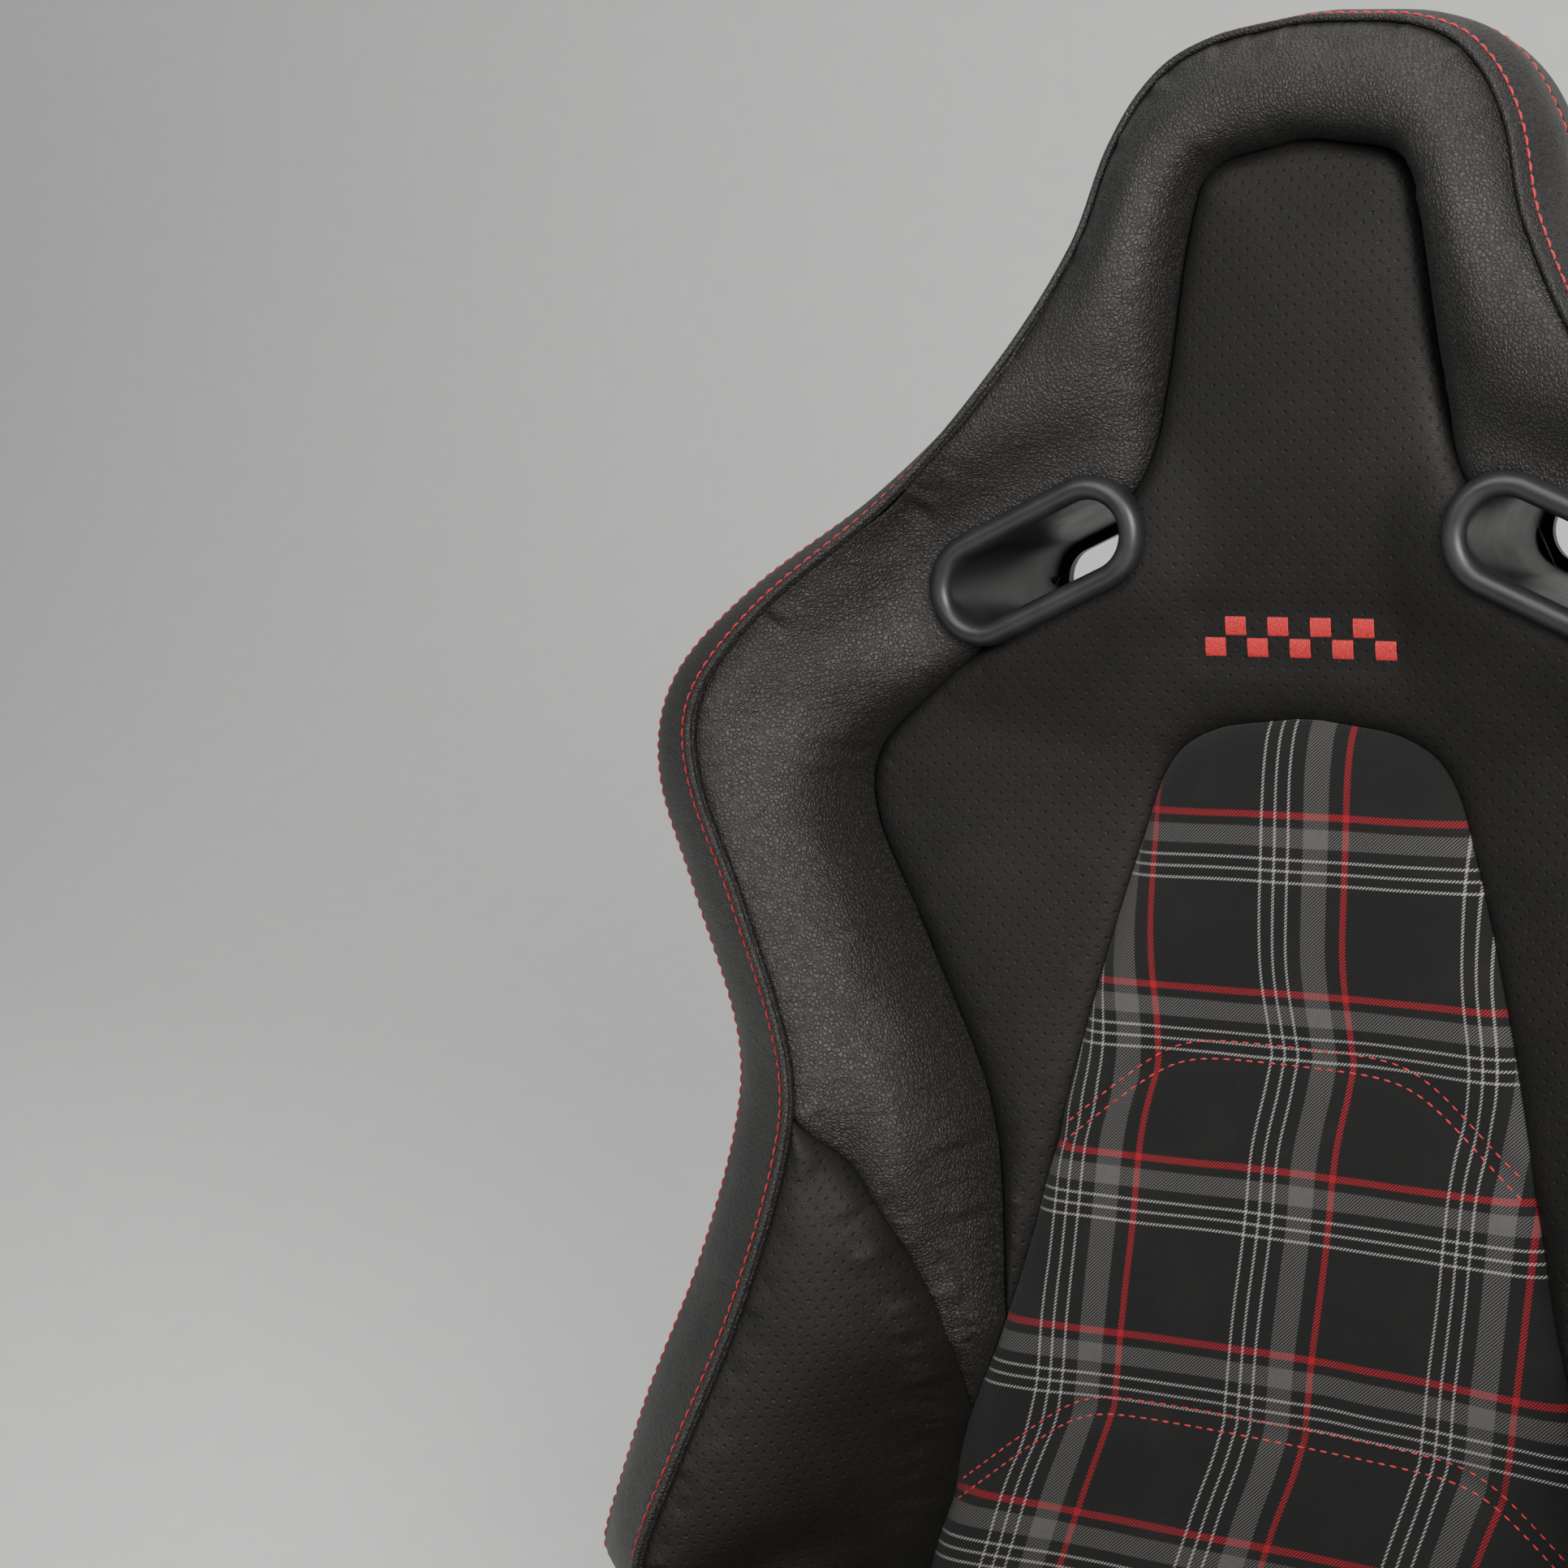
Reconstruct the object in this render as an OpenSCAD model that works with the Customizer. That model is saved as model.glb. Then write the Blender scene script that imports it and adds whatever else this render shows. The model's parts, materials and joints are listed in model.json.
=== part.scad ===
// Reclining racing seat: backrest with side wings, headrest and two harness slots,
// cushion with side bolsters, steel frame, round recliners and floor slide rails.
// X runs across the seat, the sitter faces -Y, and Z is up.
// The origin is the middle of the four floor bolts, on the floor.

/* [Floor rails] */
// Distance between the two slide rails, centre to centre
rail_gap = 410; // [400:2:420]
// Length of each lower rail
rail_len = 430; // [400:10:460]
// Distance between the floor bolts, across the seat
foot_gap_x = 346; // [336:2:350]
// Distance between the floor bolts, front to back
foot_gap_y = 350; // [330:5:370]
// Radius of the floor bolt holes
foot_hole_r = 4.3; // [3.3:0.1:5.3]

/* [Recliner] */
// Hinge line, distance behind the origin
hinge_y = 215; // [210:1:220]
// Hinge line, height above the floor
hinge_z = 172; // [170:1:176]
// Angle that the stored backrest leans back
recline = 8; // [6:1:10]
// Radius of the release shaft that joins both recliners
shaft_r = 6.5; // [6:0.25:7]

/* [Backrest] */
// Height of the backrest's cut-off bottom above the hinge
back_bottom = 40; // [38:1:44]
// Height of the cloth insert's lower end above the hinge, down in the crease
insert_bottom = 12; // [10:1:20]
// Depth from the hinge plane to the back face of the foam
foam_back = 20; // [18:1:22]
// Radius of the bent frame tube
tube_r = 11; // [9:0.5:12]
// Radius of the piping along the front edge
piping_r = 2; // [1.5:0.25:2.5]
// Thickness of the moulded rear shell
shell_t = 3; // [2.5:0.5:4]

/* [Harness slots] */
// Outer length of the oval slot trim
slot_len = 111; // [108:1:114]
// Outer width of the oval slot trim
slot_w = 53; // [50:1:55]
// Width of the trim's rounded rim
rim_w = 11; // [9:0.5:12]
// Tilt of each slot, inner end up
slot_tilt = 24.5; // [22:0.5:27]
// Distance of each slot's centre from the middle of the seat
slot_x = 119.5; // [117:0.5:122]
// Height of the slots above the hinge, along the backrest
slot_s = 523.5; // [520:0.5:526]

/* [Cushion] */
// Half the width of the cushion's cloth insert
insert_w = 163; // [155:1:168]
// Height of the underside of the cushion foam
pan_z = 98; // [98:1:102]

/* [Hidden] */
$fn = 48;

leather = [0.06, 0.06, 0.06];
perforated = [0.12, 0.12, 0.12];
cloth = [0.20, 0.20, 0.21];
plastic = [0.08, 0.08, 0.085];
steel = [0.13, 0.13, 0.14];
zinc = [0.62, 0.62, 0.60];

// ---- Outlines of the backrest: [height along the back, value] ----

// Half width at the front edge, where the piping runs
edge_x = [[40, 246], [76, 252], [118, 240], [190, 220], [268, 205], [305, 209], [370, 236],
          [425, 261], [462, 262], [503, 233], [553, 176], [608, 129], [660, 100],
          [706, 86], [735, 66], [747, 40], [751, 6]];
// How far forward that edge stands
edge_d = [[40, 204], [76, 209], [118, 198], [190, 172], [268, 154], [370, 143], [462, 137],
          [503, 127], [553, 107], [608, 93], [660, 76], [706, 64], [751, 55]];
// Half width at the rear seam, where the side band ends
seam_x = [[40, 322], [125, 300], [195, 278], [268, 262], [305, 264], [370, 288], [425, 306],
          [470, 296], [512, 256], [556, 197], [610, 141], [662, 110], [706, 97],
          [738, 76], [752, 46], [757, 6]];
// How far forward the rear seam stands
seam_d = [[40, 147], [125, 130], [195, 114], [268, 105], [425, 104], [470, 102], [512, 93],
          [556, 72], [610, 45], [662, 24], [757, 18]];
// Half width of the perforated centre panel
panel_x = [[40, 174], [84, 160], [121, 151], [172, 133], [228, 136], [261, 140], [290, 149],
           [361, 184], [405, 206], [437, 204], [468, 172], [483, 152], [520, 110],
           [557, 74], [598, 62.5], [675, 50], [694, 38], [701, 6]];
// Half width of the cloth insert, set into the centre panel
cloth_x = [[40, 174], [84, 160], [121, 151], [169, 133], [210, 121], [258, 111], [334, 94],
           [400, 76], [436, 62], [450, 40], [455, 6]];
// Half width of the sloping seam over the lower bolster
slope_x = [[129, 150], [156, 153], [182, 164], [209, 171], [235, 182], [257, 190], [274, 205]];
// How far forward the middle of the back stands
mid_d = [[12, 64], [40, 70], [100, 74], [170, 73], [258, 64], [334, 57], [436, 51], [500, 59],
         [557, 65], [640, 66], [690, 64], [705, 70], [725, 82], [742, 74], [757, 50]];
// How far forward the edge of the centre panel stands
panel_d = [[12, 68], [40, 82], [172, 84], [261, 79], [361, 76], [437, 72], [500, 68], [557, 66],
           [640, 67], [701, 66], [751, 66]];
// How hollow the wing is: 0 bulges out, 1 is scooped
hollow = [[40, 0.25], [270, 0.15], [420, 0.1], [470, 0.5], [500, 0.9], [560, 0.9], [610, 0.5],
          [660, 0.2], [751, 0.2]];
// Height of the padded roll between the centre panel and the edge
roll_h = [[40, 4], [270, 6], [440, 6], [520, 0], [590, 8], [650, 18], [751, 18]];
// How far back the rear shell stands
shell_d = [[36, -36], [120, -42], [300, -44], [480, -42], [600, -38], [700, -32], [757, -14]];

// ---- Outlines of the cushion: [distance behind the origin, value] ----

// Height of the middle of the cushion
seat_z = [[-345, 190], [-340, 216], [-326, 238], [-300, 250], [-260, 252], [-180, 240],
          [-60, 216], [60, 204], [110, 203], [132, 198], [138, 190]];
// Half width at the top edge of the side bolster
crest_x = [[-330, 212], [-300, 226], [-200, 236], [-60, 236], [60, 226], [126, 214]];
// Height of that edge
crest_z = [[-330, 236], [-300, 268], [-240, 292], [-160, 298], [-90, 286], [-50, 262],
           [-22, 222], [0, 206], [126, 203]];
// Half width of the cushion at its lower edge
skirt_x = [[-330, 226], [-300, 244], [-200, 266], [-100, 272], [0, 264], [60, 250], [126, 234]];

function clamp01(v) = max(0, min(1, v));

// Slope of an outline at point i
function slope_at(p, i) =
    let (a = max(0, i - 1), b = min(len(p) - 1, i + 1))
    (p[b][1] - p[a][1]) / (p[b][0] - p[a][0]);

// Smooth value of an outline at position t
function at(p, t) =
    let (below = [for (i = [0:len(p) - 2]) if (t >= p[i][0]) i],
         i = len(below) == 0 ? 0 : max(below),
         span = p[i + 1][0] - p[i][0],
         u = clamp01((t - p[i][0]) / span))
    (2 * u ^ 3 - 3 * u ^ 2 + 1) * p[i][1] + (u ^ 3 - 2 * u ^ 2 + u) * span * slope_at(p, i)
    + (3 * u ^ 2 - 2 * u ^ 3) * p[i + 1][1] + (u ^ 3 - u ^ 2) * span * slope_at(p, i + 1);

// How far forward the padding stands at half width x and height s
function face_d(x, s) =
    let (xc = at(panel_x, s), xe = at(edge_x, s), dm = at(mid_d, s), dc = at(panel_d, s),
         de = at(edge_d, s), h = at(hollow, s), t = clamp01((abs(x) - xc) / max(1, xe - xc)))
    abs(x) <= xc ? dm + (dc - dm) * (abs(x) / max(1, xc)) ^ 2
    : s > 701 ? dm + (de - dm) * (abs(x) / xe) ^ 3
    : dc + (de - dc) * ((1 - h) * (1 - (1 - t) ^ 1.8) + h * t ^ 1.8)
      + at(roll_h, s) * 4 * t * (1 - t);

// Evenly spaced values from a to b
function steps(a, b, n) = [for (i = [0:n]) a + (b - a) * i / n];

// Points go from the hinge plane to the world: across, forward, up along the back
module on_back() {
    translate([0, hinge_y, hinge_z])
        rotate([-recline, 0, 0])
            children();
}

// Closed solid through rings that have the same number of points
module loft(rings) {
    n = len(rings[0]);
    last = (len(rings) - 1) * n;
    walls = [for (j = [0:len(rings) - 2]) for (i = [0:n - 1])
             let (a = j * n + i, b = j * n + (i + 1) % n)
             each [[a, a + n, b + n], [a, b + n, b]]];
    floor_face = [[for (i = [0:n - 1]) i]];
    roof_face = [[for (i = [n - 1:-1:0]) last + i]];
    polyhedron(points = [for (r = rings) each r], faces = concat(walls, floor_face, roof_face));
}

// Unit vector
function unit(v) = v / max(1e-6, norm(v));

// Direction of a route at point i
function heading(route, i) =
    unit(route[min(len(route) - 1, i + 1)] - route[max(0, i - 1)]);

// Round tube along a route, with flat ends; side_dir is never along the route
module tube_along(route, r, sides, side_dir) {
    loft([for (i = [0:len(route) - 1])
          let (h = heading(route, i), a = unit(cross(h, side_dir)), b = cross(h, a))
          [for (k = [0:sides - 1])
           route[i] + r * (cos(360 * k / sides) * a + sin(360 * k / sides) * b)]]);
}

// Route with each corner rounded, starting reach before the corner
function rounded(route, reach) =
    concat([route[0]],
           [for (i = [1:len(route) - 2])
            let (c = route[i], a = c + reach * unit(route[i - 1] - c),
                 b = c + reach * unit(route[i + 1] - c))
            each [for (t = steps(0, 1, 5)) (1 - t) ^ 2 * a + 2 * t * (1 - t) * c + t ^ 2 * b]],
           [route[len(route) - 1]]);

// Both sides from one: side is 1 for the sitter's left (+X) and -1 for the right
module on_side(side) {
    mirror([side < 0 ? 1 : 0, 0, 0])
        children();
}

// Disc or shaft along +X, starting at x
module x_disc(x, r, h) {
    translate([x, 0, 0])
        rotate([0, 90, 0])
            cylinder(r = r, h = h);
}

// Moves children to the hinge line
module on_hinge() {
    translate([0, hinge_y, hinge_z])
        children();
}

// ---- Floor rails ----

rail_x = rail_gap / 2;
foot_t = 4;
channel_w = 46;
channel_h = 24;
wall_t = 3;
roller_r = 3;
roller_play = 0.05;
upper_z = foot_t + wall_t + 2 * (roller_r + roller_play);
upper_top = 37;
upper_len = 380;
notch_pitch = 10;

module lower_rail() {
    difference() {
        union() {
            translate([rail_x - channel_w / 2, -rail_len / 2, foot_t])
                cube([channel_w, rail_len, channel_h - foot_t]);
            for (y = [-1, 1])
                translate([rail_x - channel_w / 2 - 24, y * foot_gap_y / 2 - 20, 0])
                    cube([channel_w + 24, 40, foot_t]);
        }
        translate([rail_x - channel_w / 2 + wall_t, -rail_len, foot_t + wall_t])
            cube([channel_w - 2 * wall_t, 2 * rail_len, channel_h - foot_t - 2 * wall_t]);
        translate([rail_x - 9, -rail_len, foot_t + wall_t])
            cube([18, 2 * rail_len, channel_h]);
        for (y = [-1, 1])
            translate([foot_gap_x / 2, y * foot_gap_y / 2, -1])
                cylinder(r = foot_hole_r, h = foot_t + 2);
        for (i = [0:18])
            translate([rail_x - channel_w / 2 - 1, -180 + notch_pitch * i, channel_h - 7])
                cube([wall_t + 1, 5.5, 8]);
    }
}
module lower_rail_left() { color(zinc) on_side(1) lower_rail(); }
module lower_rail_right() { color(zinc) on_side(-1) lower_rail(); }

module rollers() {
    for (y = [-110, -98, 98, 110])
        translate([rail_x - 7, y, foot_t + wall_t + roller_r + roller_play])
            rotate([0, 90, 0])
                cylinder(r = roller_r, h = 14);
    difference() {
        translate([rail_x - 10, -118, foot_t + wall_t + 2])
            cube([20, 236, 2]);
        translate([rail_x - 7.2, -114, 0])
            cube([14.4, 20, 30]);
        translate([rail_x - 7.2, 94, 0])
            cube([14.4, 20, 30]);
    }
    for (y = [-110, -98, 98, 110])
        translate([rail_x - 8.5, y, foot_t + wall_t + roller_r + roller_play])
            rotate([0, 90, 0])
                cylinder(r = 1, h = 17);
}
module rollers_left() { color(zinc) on_side(1) rollers(); }
module rollers_right() { color(zinc) on_side(-1) rollers(); }

bar_pivot_y = -60;
bar_pivot_z = 50;
bar_r = 5;
bar_x = rail_x - 28;
pin_r = 3;

module upper_rail() {
    difference() {
        union() {
            translate([rail_x - 17, -upper_len / 2, upper_z])
                cube([34, upper_len, 5]);
            translate([rail_x - 6, -upper_len / 2, upper_z])
                cube([12, upper_len, upper_top - upper_z]);
            translate([rail_x - 19, -upper_len / 2, upper_top - 4])
                cube([38, upper_len, 4]);
            translate([rail_x - 19, bar_pivot_y - 10, upper_top - 4])
                cube([4, 20, 25]);
        }
        translate([rail_x - 30, bar_pivot_y, bar_pivot_z])
            rotate([0, 90, 0])
                cylinder(r = pin_r + 0.05, h = 20);
    }
}
module upper_rail_left() { color(zinc) on_side(1) upper_rail(); }
module upper_rail_right() { color(zinc) on_side(-1) upper_rail(); }

// ---- Slide release under the front of the seat ----

bar_front = -312;
bar_half = [[bar_x, bar_pivot_y, bar_pivot_z], [bar_x, -230, 46], [bar_x - 14, -290, 42],
            [bar_x - 50, bar_front, 42]];
module slide_bar() {
    right = [for (i = [3:-1:0]) [-bar_half[i][0], bar_half[i][1], bar_half[i][2]]];
    color(steel)
        union() {
            tube_along(rounded(concat([for (p = bar_half) p], right), 22), bar_r, 12, [0, 0, 1]);
            for (side = [-1, 1])
                translate([side * bar_x, bar_pivot_y, bar_pivot_z]) {
                    x_disc(-bar_r, 8, 2 * bar_r);
                    x_disc(side > 0 ? 0 : -14, pin_r, 14);
                }
        }
}

module slide_latch() {
    translate([rail_x - 23, -140, 29.5])
        cube([3, 46, 20]);
    for (i = [0:3])
        translate([rail_x - 23, -139.6 + notch_pitch * i, channel_h + 0.6])
            cube([3, 4.8, 5]);
}
module slide_latch_left() { color(zinc) on_side(1) slide_latch(); }
module slide_latch_right() { color(zinc) on_side(-1) slide_latch(); }

// ---- Cushion frame ----

plate_x = 222;
plate_t = 5;
head_r = 34;

// Outline in the plane of the plate: distance behind the origin, height
module plate_outline() {
    difference() {
        union() {
            polygon([[-238, upper_top], [-238, 60], [-214, 95], [118, 95], [138, 106],
                     [hinge_y - 30, hinge_z + 12], [hinge_y + 31, hinge_z - 10], [246, 96],
                     [238, upper_top]]);
            translate([hinge_y, hinge_z])
                circle(r = head_r);
        }
        translate([-110, 64])
            circle(r = 15);
        translate([-50, 64])
            circle(r = 15);
        translate([10, 64])
            circle(r = 15);
        translate([205, 105])
            circle(r = 13);
        translate([hinge_y, hinge_z])
            circle(r = shaft_r + 0.05);
    }
}

module side_plate() {
    translate([plate_x, 0, 0])
        rotate([90, 0, 90])
            linear_extrude(plate_t)
                plate_outline();
    translate([rail_x - 14.9, -upper_len / 2 + 10, upper_top])
        cube([plate_x - rail_x + 14.9, upper_len - 20, 4]);
}
module side_plate_left() { color(steel) on_side(1) side_plate(); }
module side_plate_right() { color(steel) on_side(-1) side_plate(); }

front_tube_y = -205;
rear_tube_y = 96;
cross_z = 82;

// Tube between the two side plates
module cross_tube(y) {
    difference() {
        translate([-plate_x, y, cross_z])
            rotate([0, 90, 0])
                cylinder(r = tube_r, h = 2 * plate_x);
        translate([-plate_x - 1, y, cross_z])
            rotate([0, 90, 0])
                cylinder(r = tube_r - 2, h = 2 * plate_x + 2);
    }
}
module front_cross_tube() { color(steel) cross_tube(front_tube_y); }
module rear_cross_tube() { color(steel) cross_tube(rear_tube_y); }

pan_front = -232;
pan_back = 122;
module seat_pan() {
    color(steel)
        difference() {
            union() {
                translate([-plate_x, pan_front, pan_z - 2])
                    cube([2 * plate_x, pan_back - pan_front, 2]);
                for (side = [-1, 1])
                    translate([side > 0 ? plate_x - 2 : -plate_x, pan_front + 42, pan_z - 14])
                        cube([2, pan_back - pan_front - 84, 13]);
                translate([-plate_x + 20, pan_front, pan_z - 16])
                    cube([2 * plate_x - 40, 2, 15]);
            }
            for (x = [-90, 0, 90])
                translate([x, -40, 0])
                    cylinder(r = 26, h = 200);
        }
}

// Hexagon bolt head of thread radius r on a washer, standing out along +X
module bolt(r) {
    rotate([0, 90, 0]) {
        cylinder(r = 2.1 * r, h = 0.3 * r);
        translate([0, 0, 0.3 * r])
            cylinder(r = 1.8 * r, h = r, $fn = 6);
    }
}
module frame_bolts() {
    color(zinc)
        for (side = [-1, 1])
            on_side(side) {
                for (y = [front_tube_y, rear_tube_y])
                    translate([plate_x + plate_t, y, cross_z])
                        bolt(6);
                for (y = [-160, 150])
                    translate([plate_x + plate_t, y, 52])
                        bolt(4);
            }
}

// ---- Recliners, one on each side, joined by the release shaft ----

housing_r = 31;
disc_r = 25;
housing_in = plate_x + plate_t;
housing_out = housing_in + 9;
arm_in = housing_out + 0.3;
arm_t = 5;
arm_out = arm_in + arm_t;

module recliner_housing() {
    on_hinge()
        difference() {
            x_disc(housing_in, housing_r, housing_out - housing_in);
            x_disc(housing_in + 1.2, disc_r + 0.05, 20);
            x_disc(housing_in - 1, shaft_r + 0.05, 20);
        }
}
module recliner_housing_left() { color(zinc) on_side(1) recliner_housing(); }
module recliner_housing_right() { color(zinc) on_side(-1) recliner_housing(); }

module release_cam() {
    on_hinge()
        difference() {
            union() {
                x_disc(housing_in + 1.4, 14, 1.6);
                for (a = [0, 120, 240])
                    rotate([a, 0, 0])
                        translate([housing_in + 1.4, 0, 0])
                            translate([0, 10, -4])
                                cube([1.6, 10, 8]);
            }
            x_disc(0, shaft_r, 300);
        }
}
module release_cam_left() { color(zinc) on_side(1) release_cam(); }
module release_cam_right() { color(zinc) on_side(-1) release_cam(); }

module recliner_disc() {
    on_hinge()
        difference() {
            x_disc(housing_in + 3.2, disc_r, arm_in - housing_in - 3.2);
            x_disc(0, shaft_r + 1.5, 300);
        }
}
module recliner_disc_left() { color(zinc) on_side(1) recliner_disc(); }
module recliner_disc_right() { color(zinc) on_side(-1) recliner_disc(); }

arm_half = 16;
arm_top = 215;
module recliner_arm() {
    on_back()
        difference() {
            translate([arm_in, 0, 0])
                rotate([90, 0, 90])
                    linear_extrude(arm_t)
                        union() {
                            circle(r = head_r);
                            translate([-arm_half, 0])
                                square([2 * arm_half, arm_top]);
                        }
            x_disc(0, shaft_r + 1.5, 300);
            for (s = [110, 180])
                translate([0, 0, s])
                    x_disc(200, 7, 60);
        }
}
module recliner_arm_left() { color(steel) on_side(1) recliner_arm(); }
module recliner_arm_right() { color(steel) on_side(-1) recliner_arm(); }

// Flat spiral spring that brings the backrest forward
spring_turns = 3;
spring_in = 11;
spring_pitch = 5;
module return_spring() {
    turns = 360 * spring_turns;
    inner = [for (a = [0:15:turns]) (spring_in + spring_pitch * a / 360) * [cos(a), sin(a)]];
    outer = [for (a = [turns:-15:0]) (spring_in + 1.6 + spring_pitch * a / 360) * [cos(a), sin(a)]];
    on_hinge()
        translate([plate_x - 12, 0, 0])
            rotate([90, 0, 90])
                linear_extrude(8)
                    polygon(concat(inner, outer));
}
module return_spring_left() { color(zinc) on_side(1) return_spring(); }
module return_spring_right() { color(zinc) on_side(-1) return_spring(); }

cover_in = arm_out + 0.8;
cover_out = cover_in + 7;
lever_in = cover_out + 0.8;
lever_t = 11;

module release_shaft() {
    color(zinc)
        on_hinge()
            x_disc(-lever_in - 4, shaft_r, 2 * lever_in + 8);
}

lever_len = 104;
lever_drop = 20;
module recline_lever() {
    on_hinge()
        rotate([lever_drop, 0, 0])
            translate([lever_in, 0, 0])
                difference() {
                    rotate([90, 0, 90])
                        linear_extrude(lever_t)
                            union() {
                                circle(r = 17);
                                polygon([[0, -15], [0, 15], [-70, 9], [-lever_len, 12],
                                         [-lever_len, -12], [-70, -9]]);
                                translate([-lever_len, 0])
                                    circle(r = 12);
                            }
                    translate([-1, 0, 0])
                        rotate([0, 90, 0])
                            cylinder(r = shaft_r, h = 5);
                }
}
module recline_lever_left() { color(plastic) on_side(1) recline_lever(); }
module recline_lever_right() { color(plastic) on_side(-1) recline_lever(); }

// Outline of the recliner cover, grown by g
module cover_outline(g) {
    union() {
        translate([hinge_y, hinge_z])
            circle(r = 37 + g);
        polygon([[hinge_y - 36 - g, hinge_z], [hinge_y - 72 - g, 126 + g], [hinge_y - 76 - g, 98 - g],
                 [hinge_y + 30 + g, 98 - g], [hinge_y + 37 + g, hinge_z]]);
    }
}
module recliner_cover() {
    difference() {
        union() {
            translate([cover_in, 0, 0])
                rotate([90, 0, 90])
                    linear_extrude(cover_out - cover_in)
                        cover_outline(0);
            translate([plate_x + plate_t, 0, 0])
                rotate([90, 0, 90])
                    linear_extrude(cover_in - plate_x - plate_t + 1)
                        difference() {
                            cover_outline(0);
                            cover_outline(-3);
                            translate([0, hinge_z - 40])
                                square([400, 200]);
                        }
        }
        translate([cover_in - 1, 0, 0])
            rotate([90, 0, 90])
                linear_extrude(4)
                    cover_outline(-3);
        on_hinge()
            x_disc(100, shaft_r + 1, 300);
    }
}
module recliner_cover_left() { color(plastic) on_side(1) recliner_cover(); }
module recliner_cover_right() { color(plastic) on_side(-1) recliner_cover(); }

// ---- Cushion ----

front_pad_y = -236;
cushion_y = [-345, -341, -333, -320, -300, -270, front_pad_y];
insert_y = [front_pad_y + 0.5, -200, -160, -120, -80, -40, 0, 40, 80, 110, 124, 132, 138];

module cushion_insert() {
    color(cloth)
        translate([-insert_w, 0, 0])
            rotate([90, 0, 90])
                linear_extrude(2 * insert_w)
                    polygon(concat([[front_pad_y + 0.5, pan_z]], [for (y = insert_y) [y, at(seat_z, y)]],
                                   [[138, pan_z + 30], [124, pan_z]]));
}
module cushion_front() {
    color(perforated)
        translate([-insert_w, 0, 0])
            rotate([90, 0, 90])
                linear_extrude(2 * insert_w)
                    polygon(concat([[front_pad_y, pan_z], [-318, pan_z], [-340, pan_z + 18]],
                                   [for (y = cushion_y) [y, at(seat_z, y)]]));
}

bolster_y = [-334, -326, -312, -290, -260, -220, -180, -140, -105, -80, -60, -45, -32, -20, -8, 10,
             40, 80, 110, 126];
// Height of the side bolster's top at a fraction t from the insert to its edge
function cushion_top(t, y) =
    let (a = at(seat_z, y) + 3, b = at(crest_z, y)) a + (b - a) * (1 - (1 - t) ^ 2.2);
function bolster_ring(y) =
    let (xi = insert_w + 0.6, xe = at(crest_x, y), xs = at(skirt_x, y), zs = pan_z + 4)
    concat([for (t = steps(0, 1, 6)) [xi + (xe - xi) * t, y, cushion_top(t, y)]],
           [for (t = [0.25, 0.6, 1]) [xe + (xs - xe) * sin(90 * t), y,
                                      at(crest_z, y) + (zs + 40 - at(crest_z, y)) * t]],
           [[xs - 8, y, zs], [xi, y, zs - 4]]);
module cushion_bolster() {
    loft([for (y = bolster_y) bolster_ring(y)]);
}
module cushion_bolster_left() { color(leather) on_side(1) cushion_bolster(); }
module cushion_bolster_right() { color(leather) on_side(-1) cushion_bolster(); }

module cushion_piping() {
    color(leather)
        for (side = [-1, 1])
            on_side(side)
                tube_along([for (y = steps(-334, 124, 40))
                            [at(crest_x, y) + 1.6, y, at(crest_z, y) + piping_r + 0.3]],
                           piping_r, 8, [0, 0, 1]);
}

// ---- Backrest frame ----

// Half width of the hoop: posts, then in over the slots
post_x = plate_x + 3.2;
hoop_half = [[post_x, 0, 60], [post_x, 0, 210], [212, 0, 300], [212, 0, 505], [118, 0, 596]];
module back_hoop() {
    left = [for (i = [4:-1:0]) [-hoop_half[i][0], 0, hoop_half[i][2]]];
    color(steel)
        on_back()
            tube_along(rounded(concat(hoop_half, left), 40), tube_r, 14, [0, 1, 0]);
}

head_tube_r = 8;
module head_hoop() {
    color(steel)
        on_back()
            tube_along(rounded([[72, 0, 597 + tube_r], [66, 0, 660], [44, 0, 700], [-44, 0, 700],
                                [-66, 0, 660], [-72, 0, 597 + tube_r]], 18),
                       head_tube_r, 12, [0, 1, 0]);
}

wire_r = 1.8;
module lumbar_springs() {
    color(zinc)
        on_back()
            for (s = [120, 200, 300, 380])
                let (reach = (s < 210 ? post_x : at([[210, post_x], [300, 212]], s)) - tube_r - 0.3)
                    tube_along([for (i = [0:44]) [reach * (i / 22 - 1), -6, s + 12 * sin(i * 60)]],
                               wire_r, 6, [0, 1, 0]);
}

module arm_bolts() {
    color(zinc)
        on_back()
            for (side = [-1, 1])
                on_side(side)
                    for (s = [70, 150])
                        translate([arm_out, 0, s])
                            bolt(4);
}

// ---- Backrest padding ----

joint_gap = 0.5;
join_s = 590;

// Section of padding at height s, from half width a to b
function pad_ring(s, a, b, n) =
    concat([for (x = steps(a, b, n)) [x, -face_d(x, s), s]],
           [[b, -foam_back, s], [a, -foam_back, s]]);

// Shape of one harness slot, grown by g
module slot_shape(g) {
    straight = slot_len - slot_w;
    translate([slot_x, slot_s])
        rotate([0, 0, -slot_tilt])
            union() {
                square([straight, slot_w + 2 * g], center = true);
                for (end = [-1, 1])
                    translate([end * straight / 2, 0])
                        circle(r = slot_w / 2 + g);
            }
}

// Prism of the slot shape, from depth a to depth b
module slot_prism(g, a, b) {
    translate([0, -a, 0])
        rotate([90, 0, 0])
            linear_extrude(b - a)
                slot_shape(g);
}

tunnel_out = 22;
tunnel_g = tunnel_out - slot_w / 2;

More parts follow.
